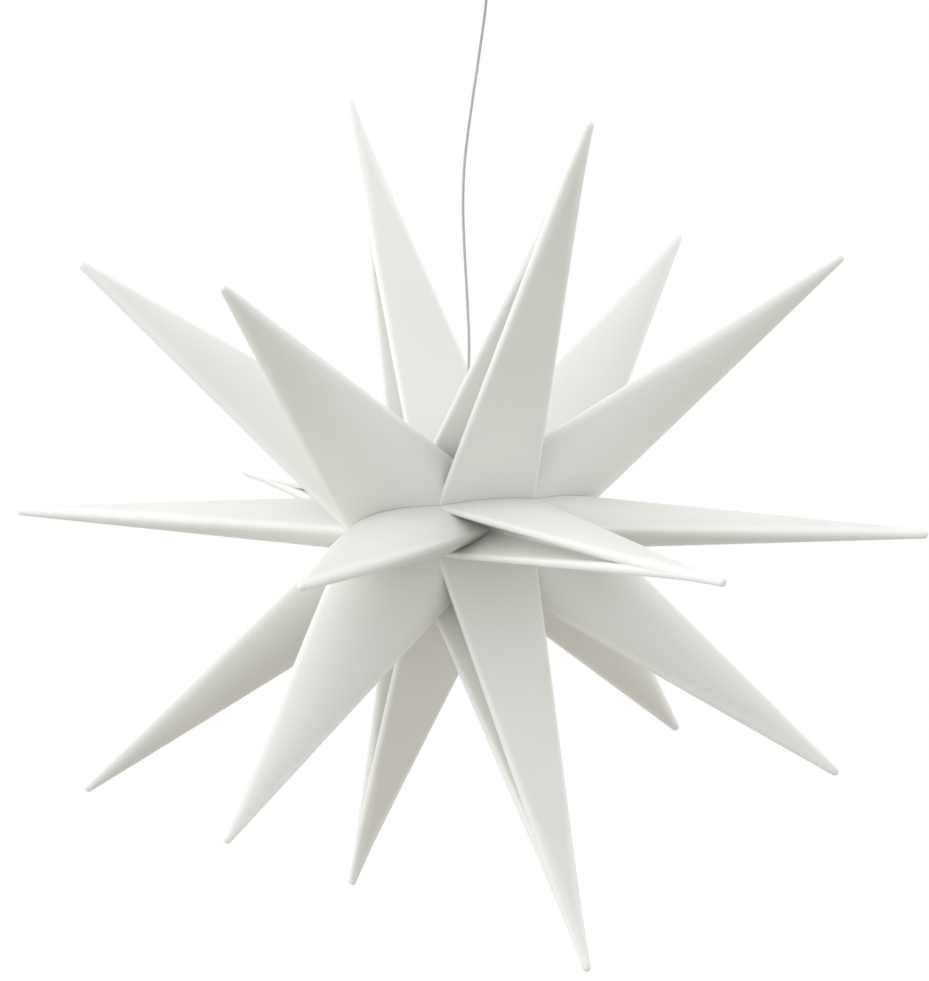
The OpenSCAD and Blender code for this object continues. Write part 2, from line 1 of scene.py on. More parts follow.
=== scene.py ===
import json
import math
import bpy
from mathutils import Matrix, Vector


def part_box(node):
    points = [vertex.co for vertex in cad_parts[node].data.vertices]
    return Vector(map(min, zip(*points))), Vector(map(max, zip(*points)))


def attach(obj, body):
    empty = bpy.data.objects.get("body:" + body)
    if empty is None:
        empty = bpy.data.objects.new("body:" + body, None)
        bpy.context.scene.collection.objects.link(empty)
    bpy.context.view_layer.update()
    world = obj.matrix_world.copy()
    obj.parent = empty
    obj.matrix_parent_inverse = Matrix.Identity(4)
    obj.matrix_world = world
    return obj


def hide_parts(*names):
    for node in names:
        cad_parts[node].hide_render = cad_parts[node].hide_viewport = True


bl_info = {
    "name": "Folding Star Pendant",
    "version": (1, 0, 0),
    "blender": (4, 5, 0),
    "location": "3D View > Sidebar > Star",
    "description": "Hanging star of hollow folding spikes with its lamp, lead and ceiling cup",
    "category": "Add Mesh",
}

from contextlib import contextmanager
from functools import cache

import bmesh
import bpy
from bpy.props import (
    FloatProperty,
    FloatVectorProperty,
    IntProperty,
    PointerProperty,
)
from mathutils import Matrix, Vector

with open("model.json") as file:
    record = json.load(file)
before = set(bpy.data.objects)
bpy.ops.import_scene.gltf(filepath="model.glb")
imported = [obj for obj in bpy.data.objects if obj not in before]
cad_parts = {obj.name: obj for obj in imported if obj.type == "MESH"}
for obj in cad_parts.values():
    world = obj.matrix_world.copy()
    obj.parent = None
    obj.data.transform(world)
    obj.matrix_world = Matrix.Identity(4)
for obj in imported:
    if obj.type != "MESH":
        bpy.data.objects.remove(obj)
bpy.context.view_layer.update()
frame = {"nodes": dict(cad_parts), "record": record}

MM = 0.001
SEGMENTS = 6
# UV map of the spikes: across it is 1 on an edge and falls to 0 at EDGE_REACH from it; it places
# the painted edge highlight
EDGE_MAP = "edge_nearness"
EDGE_REACH = 50 * MM
# Points nearer than this are one point; a boolean leaves its own a little further apart
MERGE = 1e-7
CARVED_MERGE = 2e-6
# Between the lead and the bores that it passes
LEAD_CLEARANCE = 0.1 * MM
# How much wider the collar's stem is than its neck
STEM_STEP = 1 * MM
ROOT = "ceiling_fitting_and_lamp"
HALVES = [(i, half) for i in range(1, SEGMENTS + 1) for half in "ab"]


def shell_name(number, half):
    return f"segment_{number}_shell_{half}"


def middle_of(nodes):
    """Centre of the box around several CAD nodes."""
    corners = [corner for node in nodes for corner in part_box(node)]
    low = Vector([min(c[k] for c in corners) for k in range(3)])
    high = Vector([max(c[k] for c in corners) for k in range(3)])
    return (low + high) / 2


STAR = middle_of([shell_name(*half) for half in HALVES])

# Route of the lead in its own upright plane: across, and up from the star's centre
LEAD_BEARING = math.radians(-30)
LEAD_ROUTE = [
    (0.0128, 0.3435), (0.0128, 0.332), (0.0128, 0.320), (0.0126, 0.312), (0.0118, 0.304),
    (0.0106, 0.295), (0.0090, 0.284), (0.0073, 0.272), (0.0055, 0.260), (0.0038, 0.248),
    (0.0021, 0.236), (0.0006, 0.224), (-0.0005, 0.212), (-0.0010, 0.200), (-0.0011, 0.188),
    (-0.0008, 0.176), (-0.0003, 0.164), (0.0004, 0.152), (0.0011, 0.140), (0.0017, 0.128),
    (0.0023, 0.116), (0.0025, 0.105), (0.0023, 0.095), (0.0017, 0.085), (0.0010, 0.076),
    (0.0004, 0.068), (0.0001, 0.061), (0.0, 0.054), (0.0, 0.044), (0.0, 0.034), (0.0, 0.024),
]


def linear(hex_colour):
    """Turns an sRGB hex colour into the linear RGB that Blender works in."""
    values = [int(hex_colour[k:k + 2], 16) / 255 for k in (1, 3, 5)]
    return tuple(v / 12.92 if v <= 0.04045 else ((v + 0.055) / 1.055) ** 2.4 for v in values)


# Node trees


def add_node(tree, kind, settings=None, inputs=None):
    """Adds a node with its settings; an input given as a socket is linked, any other is set."""
    node = tree.nodes.new(kind)
    for key, value in (settings or {}).items():
        setattr(node, key, value)
    for key, value in (inputs or {}).items():
        if isinstance(value, bpy.types.NodeSocket):
            tree.links.new(value, node.inputs[key])
        else:
            node.inputs[key].default_value = value
    return node


def blank_material(name):
    """A new material with an empty node tree, and its coordinates in metres."""
    material = bpy.data.materials.new(name)
    material.use_nodes = True
    tree = material.node_tree
    tree.nodes.clear()
    place = add_node(tree, "ShaderNodeTexCoord").outputs["Object"]
    return material, tree, place


def close_material(tree, surface):
    add_node(tree, "ShaderNodeOutputMaterial", inputs={"Surface": surface})


def size_to_scale(size):
    """Scale of a noise or Voronoi pattern whose features are size metres apart."""
    return 1 / size


def close_worked(tree, colour, marks=None, shades=None, rough=0.5, relief=None, bump=None,
                 **sockets):
    """Ends a material in a skin whose tint and roughness follow its marks, and whose bump follows
    its relief, or else the marks too. Other sockets are given by name, with _ for a space."""
    inputs = {"Base Color": (*colour, 1), "Roughness": rough}
    if shades:
        dark, light = ([min(1, c * shade) for c in colour] for shade in shades)
        tint = add_node(tree, "ShaderNodeMix", {"data_type": "RGBA"}, {
            "Factor": marks, "A": (*dark, 1), "B": (*light, 1)})
        inputs["Base Color"] = tint.outputs["Result"]
    if isinstance(rough, tuple):
        sheen = add_node(tree, "ShaderNodeMapRange", inputs={
            "Value": marks, "To Min": rough[0], "To Max": rough[1]})
        inputs["Roughness"] = sheen.outputs["Result"]
    if bump:
        raised = add_node(tree, "ShaderNodeBump", inputs={
            "Height": relief or marks, "Strength": bump[0], "Distance": bump[1]})
        inputs["Normal"] = raised.outputs["Normal"]
    inputs.update({key.replace("_", " "): value for key, value in sockets.items()})
    skin = add_node(tree, "ShaderNodeBsdfPrincipled", inputs=inputs)
    close_material(tree, skin.outputs["BSDF"])


def satin_polypropylene(colour):
    """Injection-moulded polypropylene from a spark-eroded mould: matt white skin, a soft
    sheen and faint flow shades a hand's width long. Along the spikes' edges the colour is
    painted whiter, a painted highlight where the rounded edges catch the light."""
    material, tree, place = blank_material("satin_white_polypropylene")
    # Painted highlight: the whiter colour that the spikes' edges are painted with
    rim = bpy.context.scene.star_finishes.shell_rim
    nearness = add_node(tree, "ShaderNodeSeparateXYZ", inputs={
        0: add_node(tree, "ShaderNodeUVMap", {"uv_map": EDGE_MAP}).outputs["UV"]})
    # The painted edge highlight fades into the wall between 3 and 8 mm from the edge
    solid = add_node(tree, "ShaderNodeMapRange", {"interpolation_type": "SMOOTHSTEP"}, {
        "Value": nearness.outputs["X"],
        "From Min": 1 - 8 * MM / EDGE_REACH, "From Max": 1 - 3 * MM / EDGE_REACH})
    body = add_node(tree, "ShaderNodeMix", {"data_type": "RGBA"}, {
        "Factor": solid.outputs["Result"], "A": (*colour, 1), "B": (*rim, 1)})
    # Moulding flow: clouds of tint 70 mm across
    flow = add_node(tree, "ShaderNodeTexNoise", inputs={
        "Vector": place, "Scale": size_to_scale(70 * MM), "Detail": 2.0, "Roughness": 0.45})
    shade = add_node(tree, "ShaderNodeMapRange", inputs={
        "Value": flow.outputs["Fac"], "To Min": 0.965, "To Max": 1.03})
    tint = add_node(tree, "ShaderNodeVectorMath", {"operation": "SCALE"}, {
        0: body.outputs["Result"], "Scale": shade.outputs["Result"]})
    # Handling marks: patches of sheen 14 mm across
    marks = add_node(tree, "ShaderNodeTexNoise", inputs={
        "Vector": place, "Scale": size_to_scale(14 * MM), "Detail": 3.0})
    sheen = add_node(tree, "ShaderNodeMapRange", inputs={
        "Value": marks.outputs["Fac"], "From Min": 0.3, "From Max": 0.7,
        "To Min": 0.40, "To Max": 0.52})
    # Spark erosion leaves a 0.2 mm grain, drawn 1.4 mm so that it shows
    grain = add_node(tree, "ShaderNodeTexNoise", inputs={
        "Vector": place, "Scale": size_to_scale(1.4 * MM), "Detail": 2.0})
    close_worked(
        tree, colour, relief=grain.outputs["Fac"], bump=(0.16, 0.08 * MM), IOR=1.49,
        Specular_IOR_Level=0.4, Base_Color=tint.outputs["Vector"],
        Roughness=sheen.outputs["Result"])
    return material


def noise_worked(name, colour, size, detail, shades, rough, bump=None, stretch=(1, 1, 1),
                 **sockets):
    """A material whose shade, sheen and bump follow one noise, its marks size metres across."""
    material, tree, place = blank_material(name)
    along = add_node(tree, "ShaderNodeMapping", inputs={"Vector": place, "Scale": stretch})
    marks = add_node(tree, "ShaderNodeTexNoise", inputs={
        "Vector": along.outputs["Vector"], "Scale": size_to_scale(size), "Detail": detail})
    close_worked(tree, colour, marks.outputs["Fac"], shades, rough, bump=bump, **sockets)
    return material


def glossy_abs(colour):
    """Moulded ABS from a polished mould: an even white with a clear gloss and a trace of
    the polishing waves."""
    material, tree, place = blank_material("polished_white_abs")
    waves = add_node(tree, "ShaderNodeTexNoise", inputs={
        "Vector": place, "Scale": size_to_scale(6 * MM), "Detail": 1.0})
    dust = add_node(tree, "ShaderNodeTexNoise", inputs={
        "Vector": place, "Scale": size_to_scale(9 * MM), "Detail": 4.0})
    close_worked(
        tree, colour, dust.outputs["Fac"], (0.97, 1), (0.2, 0.36), waves.outputs["Fac"],
        (0.08, 0.1 * MM), IOR=1.54)
    return material


def pvc_sheath(colour):
    """Extruded soft PVC: satin light grey with fine streaks, 0.5 mm apart, drawn along the die."""
    return noise_worked(
        "extruded_grey_pvc", colour, size=0.5 * MM, detail=2.0, shades=(0.9, 1.08),
        rough=(0.38, 0.55), bump=(0.15, 0.03 * MM), stretch=(1, 1, 0.08), IOR=1.53)


def turned_aluminium(colour):
    """Extruded and turned aluminium: bright grey with rings and lines 0.4 mm apart."""
    return noise_worked(
        "turned_aluminium", colour, size=0.4 * MM, detail=3.0, shades=(0.86, 1.1),
        rough=(0.28, 0.42), bump=(0.12, 0.02 * MM), stretch=(1, 1, 0.15), Metallic=1.0)


def zinc_plated_steel(colour):
    """Cold-rolled steel, zinc plated: a bluish grey with a soft spangle 2 mm across."""
    return noise_worked(
        "zinc_plated_steel", colour, size=2 * MM, detail=3.0, shades=(0.86, 1.1),
        rough=(0.24, 0.44), bump=(0.12, 0.02 * MM), Metallic=1.0)


def solder_mask(colour):
    """White epoxy solder mask on a circuit board: smooth, with copper traces under it every
    5.65 mm that show as slightly raised bands."""
    material, tree, place = blank_material("white_solder_mask")
    # Bands come every 2 pi / 20 of the scaled coordinate
    bands = add_node(tree, "ShaderNodeTexWave", {"wave_type": "BANDS", "bands_direction": "Z"}, {
        "Vector": place, "Scale": 2 * math.pi / 20 * size_to_scale(5.655 * MM), "Distortion": 0.0})
    speck = add_node(tree, "ShaderNodeTexNoise", inputs={
        "Vector": place, "Scale": size_to_scale(2 * MM), "Detail": 3.0})
    close_worked(
        tree, colour, speck.outputs["Fac"], (0.94, 1), 0.34, bands.outputs["Fac"],
        (0.2, 0.05 * MM), IOR=1.55)
    return material


def phosphor_gel(colour):
    """Silicone gel filled with yellow phosphor: smooth and slightly cloudy, dull until lit."""
    return noise_worked(
        "yellow_phosphor_gel", colour, size=0.8 * MM, detail=2.0, shades=(0.88, 1),
        rough=(0.18, 0.3), IOR=1.41, Subsurface_Weight=0.2, Subsurface_Scale=0.8 * MM)


def frosted_polycarbonate(colour):
    """Opal polycarbonate with a sand-blasted mould skin: lets a soft blur of light through."""
    return noise_worked(
        "frosted_polycarbonate", colour, size=0.6 * MM, detail=2.0, shades=None,
        rough=(0.42, 0.6), bump=(0.12, 0.04 * MM), IOR=1.58, Transmission_Weight=0.55,
        Subsurface_Weight=0.2, Subsurface_Scale=1.5 * MM)


def flame_retardant_case(colour):
    """Moulded flame-retardant polycarbonate of the driver and the terminals: matt ivory,
    spark-eroded with a 0.8 mm grain."""
    material, tree, place = blank_material("matt_ivory_polycarbonate")
    grain = add_node(tree, "ShaderNodeTexVoronoi", inputs={
        "Vector": place, "Scale": size_to_scale(0.8 * MM)})
    cloud = add_node(tree, "ShaderNodeTexNoise", inputs={
        "Vector": place, "Scale": size_to_scale(11 * MM), "Detail": 3.0})
    close_worked(
        tree, colour, cloud.outputs["Fac"], (0.93, 1), 0.55, grain.outputs["Distance"],
        (0.25, 0.06 * MM), IOR=1.58)
    return material


FINISHES = {
    "shell": satin_polypropylene,
    "white_plastic": glossy_abs,
    "lead_sheath": pvc_sheath,
    "light_metal": turned_aluminium,
    "steel": zinc_plated_steel,
    "circuit_board": solder_mask,
    "chip": phosphor_gel,
    "diffuser": frosted_polycarbonate,
    "driver_case": flame_retardant_case,
}


@cache
def finish(slot):
    """The material of a material slot, made once."""
    return FINISHES[slot](getattr(bpy.context.scene.star_finishes, slot))


# Meshes


def linked(name, data):
    """A new object in the scene that holds a mesh, curve, camera or lamp."""
    thing = bpy.data.objects.new(name, data)
    bpy.context.scene.collection.objects.link(thing)
    return thing


@contextmanager
def reworked(mesh):
    """Opens a mesh for bmesh's operators, and writes it back."""
    work = bmesh.new()
    work.from_mesh(mesh)
    yield work
    work.to_mesh(mesh)
    work.free()


def mesh_of(name, points, faces, edge_gaps=None):
    """A closed mesh from points and faces, its faces turned outwards. The distances of its
    points from the nearest edge, where given, go into the edge map."""
    mesh = bpy.data.meshes.new(name)
    mesh.from_pydata([tuple(p) for p in points], [], faces)
    if edge_gaps:
        corners = mesh.uv_layers.new(name=EDGE_MAP).data
        for loop, corner in zip(mesh.loops, corners):
            corner.uv = (1 - edge_gaps[loop.vertex_index] / EDGE_REACH, 0)
    with reworked(mesh) as work:
        bmesh.ops.remove_doubles(work, verts=work.verts, dist=MERGE)
        bmesh.ops.recalc_face_normals(work, faces=work.faces)
    return mesh


def gaps_along(outline, edges):
    """Distance of each point of an outline from the nearest edge point, along the outline."""
    steps = [(b - a).length for a, b in zip(outline, outline[1:] + outline[:1])]
    travel = [sum(steps[:i]) for i in range(len(outline) + 1)]
    gaps = []
    for here in travel[:-1]:
        spans = [abs(here - travel[edge]) for edge in edges]
        gaps.append(min(min(span, travel[-1] - span) for span in spans))
    return gaps


def loft(name, rings, pole=None, edge_gaps=None):
    """A closed solid skinned over rings of equal count, the first drawn in to a pole."""
    count = len(rings[0])
    points = [p for ring in rings for p in ring]
    faces = []
    for j in range(len(rings) - 1):
        a, b = j * count, (j + 1) * count
        for i in range(count):
            k = (i + 1) % count
            faces.append((a + i, b + i, b + k, a + k))
    last = (len(rings) - 1) * count
    faces.append(tuple(range(last, last + count)))
    if pole is None:
        faces.append(tuple(reversed(range(count))))
    else:
        points.append(pole)
        faces += [(len(points) - 1, i, (i + 1) % count) for i in range(count)]
    return mesh_of(name, points, faces, edge_gaps)


def filleted(corners, steps=4):
    """Rounds the corners of a closed outline of (x, y, fillet radius)."""
    outline = []
    count = len(corners)
    for i, (x, y, radius) in enumerate(corners):
        here = Vector((x, y))
        back = Vector(corners[i - 1][:2]) - here
        ahead = Vector(corners[(i + 1) % count][:2]) - here
        if radius <= 0 or back.length < 1e-9 or ahead.length < 1e-9:
            outline.append(here)
            continue
        back.normalize()
        ahead.normalize()
        half = math.acos(max(-1, min(1, back.dot(ahead)))) / 2
        middle = (back + ahead).normalized()
        centre = here + middle * radius / math.sin(half)
        start = here + back * radius / math.tan(half) - centre
        end = here + ahead * radius / math.tan(half) - centre
        spokes = [start.lerp(end, j / steps) for j in range(steps + 1)]
        outline += [centre + spoke.normalized() * radius for spoke in spokes]
    return outline


def lathe(name, corners, steps=64, fillet_steps=4):
    """Turns a closed outline of (radius, height, fillet) about the upright axis."""
    outline = filleted(corners, fillet_steps)
    points, faces = [], []
    for k in range(steps):
        a = 2 * math.pi * k / steps
        points += [Vector((p.x * math.cos(a), p.x * math.sin(a), p.y)) for p in outline]
    count = len(outline)
    for k in range(steps):
        a, b = k * count, (k + 1) % steps * count
        for i in range(count):
            j = (i + 1) % count
            faces.append((a + i, b + i, b + j, a + j))
    mesh = mesh_of(name, points, faces)
    with reworked(mesh) as work:
        bmesh.ops.dissolve_degenerate(work, dist=MERGE, edges=work.edges)
    return mesh


def rounded_box(name, low, high, radius, segments=3):
    """A box with rounded edges."""
    mesh = bpy.data.meshes.new(name)
    low, high = Vector(low), Vector(high)
    size, centre = high - low, (low + high) / 2
    with reworked(mesh) as work:
        bmesh.ops.create_cube(work, size=1)
        for vertex in work.verts:
            vertex.co = Vector(vertex.co[k] * size[k] + centre[k] for k in range(3))
        bmesh.ops.bevel(
            work, geom=list(work.edges), offset=radius, offset_type="OFFSET", segments=segments,
            profile=0.5, affect="EDGES")
    return mesh


def joined(name, meshes):
    """One mesh holding several."""
    whole = bpy.data.meshes.new(name)
    with reworked(whole) as work:
        for mesh in meshes:
            work.from_mesh(mesh)
    return whole


def evaluated_mesh(piece):
    """The piece's mesh with its modifiers applied."""
    depsgraph = bpy.context.evaluated_depsgraph_get()
    depsgraph.update()
    return bpy.data.meshes.new_from_object(piece.evaluated_get(depsgraph))


def carved(name, base, steps):
    """Adds, keeps or cuts meshes from a base mesh, with exact booleans, in order."""
    target = linked(name, base)
    tools = []
    for operation, mesh in steps:
        tool = linked(name + "_tool", mesh)
        tools.append(tool)
        modifier = target.modifiers.new("carve", "BOOLEAN")
        modifier.operation = operation
        modifier.solver = "EXACT"
        modifier.object = tool
    mesh = evaluated_mesh(target)
    for thing in [target, *tools]:
        bpy.data.objects.remove(thing)
    with reworked(mesh) as work:
        bmesh.ops.remove_doubles(work, verts=work.verts, dist=CARVED_MERGE)
        bmesh.ops.dissolve_degenerate(work, dist=CARVED_MERGE / 2, edges=work.edges)
    return mesh


def piece_of(name, mesh, slot, *replaced, body=ROOT, sharp=30):
    """A finished piece: shaded smooth up to an angle, in its slot's finish, on its body."""
    piece = linked(name, mesh)
    mesh.polygons.foreach_set("use_smooth", [True] * len(mesh.polygons))
    mesh.set_sharp_from_angle(angle=math.radians(sharp))
    mesh.materials.clear()
    mesh.materials.append(finish(slot))
    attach(piece, body)
    if replaced:
        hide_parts(*replaced)
    return piece


def moved(mesh, place):
    mesh.transform(Matrix.Translation(place))
    return mesh


def foot_and_size(node):
    """Middle of the underside of a CAD node's box, and the box's size."""
    low, high = (Vector(corner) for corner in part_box(node))
    return Vector(((low.x + high.x) / 2, (low.y + high.y) / 2, low.z)), high - low


def turned_piece(name, corners, slot, node, foot, **steps):
    """A lathe piece that replaces a CAD node and stands on its foot."""
    return piece_of(name, moved(lathe(name, corners, **steps), foot), slot, node)


def cross_bar(name, radius, half_length, height):
    """A rod along X at a height, for drilling cross holes."""
    rod = lathe(name, [
        (0, -half_length, 0), (radius, -half_length, 0), (radius, half_length, 0),
        (0, half_length, 0)], steps=32)
    rod.transform(Matrix.Translation((0, 0, height)) @ Matrix.Rotation(math.pi / 2, 4, "Y"))
    return rod


# Geometry Nodes


def new_tree(name, sockets):
    """A Geometry Nodes tree with a geometry in and out and named inputs."""
    tree = bpy.data.node_groups.new(name, "GeometryNodeTree")
    tree.is_modifier = True
    tree.interface.new_socket("Geometry", in_out="INPUT", socket_type="NodeSocketGeometry")
    tree.interface.new_socket("Geometry", in_out="OUTPUT", socket_type="NodeSocketGeometry")
    for label, kind in sockets:
        tree.interface.new_socket(label, in_out="INPUT", socket_type="NodeSocket" + kind)
    return tree, add_node(tree, "NodeGroupInput").outputs


def end_tree(tree, geometry, material):
    """Ends a tree in Realize Instances and Set Material."""
    real = add_node(tree, "GeometryNodeRealizeInstances", inputs={"Geometry": geometry})
    painted = add_node(tree, "GeometryNodeSetMaterial", inputs={
        "Geometry": real.outputs["Geometry"], "Material": material})
    add_node(tree, "NodeGroupOutput", inputs={"Geometry": painted.outputs["Geometry"]})
    return tree


def grown(name, base, tree, values):
    """Runs a tree on a mesh and returns the result as a plain mesh."""
    holder = linked(name, base)
    modifier = holder.modifiers.new(tree.name, "NODES")
    modifier.node_group = tree
    sockets = {
        item.name: item.identifier for item in tree.interface.items_tree
        if item.item_type == "SOCKET" and item.in_out == "INPUT"}
    for label, value in values.items():
        modifier[sockets[label]] = value
    mesh = evaluated_mesh(holder)
    bpy.data.objects.remove(holder)
    return mesh


@cache
def segment_tree():
    """Rolls a half shell, mirrored for the lower half, into its place round the long axis."""
    tree, given = new_tree("segment_roll", [
        ("Segment", "Int"), ("Segments", "Int"), ("Lower half", "Bool"),
        ("Centre", "Vector"), ("Material", "Material")])
    side = add_node(tree, "ShaderNodeMath", {"operation": "MULTIPLY_ADD"}, {
        0: given["Lower half"], 1: -2.0, 2: 1.0})
    mirror = add_node(tree, "ShaderNodeCombineXYZ", inputs={
        "X": 1.0, "Y": 1.0, "Z": side.outputs[0]})
    laid = add_node(tree, "GeometryNodeTransform", inputs={
        "Geometry": given["Geometry"], "Scale": mirror.outputs[0]})
    turned = add_node(tree, "GeometryNodeFlipFaces", inputs={
        "Mesh": laid.outputs["Geometry"], "Selection": given["Lower half"]})
    step = add_node(tree, "ShaderNodeMath", {"operation": "DIVIDE"}, {
        0: 2 * math.pi, 1: given["Segments"]})
    # Segment 2 is the one that lies level
    from_level = add_node(tree, "ShaderNodeMath", {"operation": "SUBTRACT"}, {
        0: given["Segment"], 1: 2.0})
    roll = add_node(tree, "ShaderNodeMath", {"operation": "MULTIPLY"}, {
        0: from_level.outputs[0], 1: step.outputs[0]})
    angles = add_node(tree, "ShaderNodeCombineXYZ", inputs={"X": roll.outputs[0]})
    placed = add_node(tree, "GeometryNodeTransform", inputs={
        "Geometry": turned.outputs["Mesh"], "Rotation": angles.outputs[0],
        "Translation": given["Centre"]})
    return end_tree(tree, placed.outputs["Geometry"], given["Material"])


@cache
def rows_tree():
    """Repeats a piece in rows up an axis and in even steps round it."""
    tree, given = new_tree("rows_round_axis", [
        ("Count around", "Int"), ("First angle", "Float"), ("Rows", "Int"),
        ("Row spacing", "Float"), ("Axis foot", "Vector"), ("Material", "Material")])
    rise = add_node(tree, "ShaderNodeCombineXYZ", inputs={"Z": given["Row spacing"]})
    rows = add_node(tree, "GeometryNodeMeshLine", {"mode": "OFFSET"}, {
        "Count": given["Rows"], "Offset": rise.outputs[0]})
    column = add_node(tree, "GeometryNodeInstanceOnPoints", inputs={
        "Points": rows.outputs["Mesh"], "Instance": given["Geometry"]})
    still = add_node(tree, "ShaderNodeCombineXYZ")
    spots = add_node(tree, "GeometryNodeMeshLine", {"mode": "OFFSET"}, {
        "Count": given["Count around"], "Offset": still.outputs[0]})
    whole = add_node(tree, "GeometryNodeGeometryToInstance", inputs={
        "Geometry": column.outputs["Instances"]})
    index = add_node(tree, "GeometryNodeInputIndex").outputs[0]
    step = add_node(tree, "ShaderNodeMath", {"operation": "DIVIDE"}, {
        0: 2 * math.pi, 1: given["Count around"]})
    angle = add_node(tree, "ShaderNodeMath", {"operation": "MULTIPLY_ADD"}, {
        0: index, 1: step.outputs[0], 2: given["First angle"]})
    turn = add_node(tree, "ShaderNodeCombineXYZ", inputs={"Z": angle.outputs[0]})
    ring = add_node(tree, "GeometryNodeInstanceOnPoints", inputs={
        "Points": spots.outputs["Mesh"], "Instance": whole.outputs[0],
        "Rotation": turn.outputs[0]})
    placed = add_node(tree, "GeometryNodeTransform", inputs={
        "Geometry": ring.outputs["Instances"], "Translation": given["Axis foot"]})
    return end_tree(tree, placed.outputs["Geometry"], given["Material"])


def round_axis(name, base, around, slot, foot, rows=1, spacing=0.0, first=0.0):
    """A mesh repeated round an upright axis."""
    return grown(name, base, rows_tree(), {
        "Count around": around, "First angle": first, "Rows": rows, "Row spacing": spacing,
        "Axis foot": tuple(foot), "Material": finish(slot)})


# The star's form


def direction(angle):
    return Vector((math.cos(angle), math.sin(angle)))


class StarForm:
    """The cones that a half shell is cut from, for a segment lying down: its long axis
    along X, its middle spike towards -Y and its seam upwards."""

    lens_steps = 20
    crest_steps = 14
    edge_steps = 9
    valley_steps = 6
    # The spikes reach a little below the mid plane, where the wedge cuts them off
    below = -2 * MM
    # Degrees round a tip at which its rings lie
    side_tip_turns = (78, 62, 46, 30, 17)
    belt_tip_turns = (78, 62, 46, 30, 15)
    # Distances of the other rings from a spike's virtual apex
    side_stations = (0.032, 0.048, 0.070, 0.100, 0.135, 0.175, 0.215)
    belt_stations = (0.030, 0.040, 0.052, 0.066, 0.080, 0.094, 0.106, 0.120, 0.140, 0.170, 0.205,
                     0.240, 0.272)
    # Room left at the nose of a hollow beyond its walls, and how far its pole stands before it
    side_nose_room = 0.8 * MM
    belt_nose_room = 0.5 * MM
    pole_lead = 2 * MM
    # How much the edge distances are stretched at the foot, over those at the waist
    foot_stretch = 2.3

    def __init__(self, sizes):
        self.sizes = sizes
        self.half_step = math.pi / SEGMENTS
        radius = sizes.tip_radius
        tip = sizes.side_reach * direction(sizes.side_angle)
        rough = (math.atan2(tip.y, tip.x - sizes.pole_reach)
                 - math.atan2(tip.y - sizes.pleat_radius, tip.x)) / 2
        self.apex = (sizes.side_reach + radius / math.sin(rough) - radius) * direction(
            sizes.side_angle)
        near = math.atan2(self.apex.y - sizes.pleat_radius, self.apex.x)
        far = math.atan2(self.apex.y, self.apex.x - sizes.pole_reach)
        self.bearing = (near + far) / 2
        self.half_angle = (far - near) / 2
        self.side_end = self.apex.y / math.sin(near)
        foot = Vector((sizes.pole_reach, sizes.pleat_radius)) / 2
        self.side_run = (self.apex - foot).length
        self.side_slope = sizes.side_half_thickness / self.side_run
        # The core that the tip radius is laid around
        self.side_core = radius / math.sin(self.half_angle)
        self.core_slope = (sizes.side_half_thickness - radius) / (self.side_run - self.side_core)

        corner_out = sizes.corner_radius * math.cos(self.half_step)
        corner_up = sizes.corner_radius * math.sin(self.half_step)
        crest_out = sizes.crest_radius * math.cos(self.half_step)
        crest_up = sizes.crest_radius * math.sin(self.half_step)
        self.belt_angle = math.atan2(sizes.foot_half_width, sizes.belt_reach - corner_out)
        self.belt_core = radius / math.sin(self.belt_angle)
        self.belt_apex = sizes.belt_reach + self.belt_core - radius
        run = self.belt_apex - corner_out
        self.width_slope = sizes.foot_half_width / run
        self.corner_slope = corner_up / run
        self.crest_slope = crest_up / (self.belt_apex - crest_out)
        self.lens = self.unit_lens()

    def lens_curve(self):
        """Places across a side spike's section, from -1 to 1, and its bulge there, up to 1."""
        across = [-math.cos(math.pi * i / self.lens_steps) for i in range(self.lens_steps + 1)]
        return [(c, max(0, 1 - c * c) ** self.sizes.fullness) for c in across]

    def unit_lens(self):
        """Core points and outward normals round a side spike's section of unit size."""
        wide, high = math.tan(self.half_angle), self.core_slope
        curve = [Vector((c * wide, high * bulge)) for c, bulge in self.lens_curve()]
        normals = []
        for i, _ in enumerate(curve):
            ahead = curve[min(i + 1, self.lens_steps)] - curve[max(i - 1, 0)]
            normals.append(Vector((-ahead.y, ahead.x)).normalized())
        rows = []
        first = math.atan2(normals[0].y, normals[0].x)
        for i in range(self.edge_steps):
            a = math.pi + (first - math.pi) * i / self.edge_steps
            rows.append((curve[0], direction(a)))
        rows += list(zip(curve, normals))
        for core, normal in reversed(rows[:self.edge_steps]):
            rows.append((Vector((-core.x, core.y)), Vector((-normal.x, normal.y))))
        return rows

    def radius_at(self, back):
        """Radius of the edges: it grows from the tip's own to the waist's, then falls to the
        foot's."""
        sizes, core = self.sizes, self.belt_core
        if back < sizes.waist_distance:
            rise = max(0, (back - core) / (sizes.waist_distance - core))
            return sizes.tip_radius + (sizes.waist_radius - sizes.tip_radius) * rise
        fall = min(1, (back - sizes.waist_distance) / (self.belt_apex - sizes.waist_distance))
        return sizes.waist_radius + (sizes.edge_radius - sizes.waist_radius) * fall

    def rim_gaps(self, rings, edges):
        """Distances from the edges over a spike's rings. They are stretched towards the foot,
        where the painted edge highlight is less than half as wide as at the waist."""
        waist = self.sizes.waist_distance
        gaps = []
        for back, outline in rings:
            fall = min(1, max(0, (back - waist) / (self.belt_apex - waist)))
            stretch = 1 + (self.foot_stretch - 1) * fall
            gaps += [gap * stretch for gap in gaps_along(outline, edges)]
        return gaps

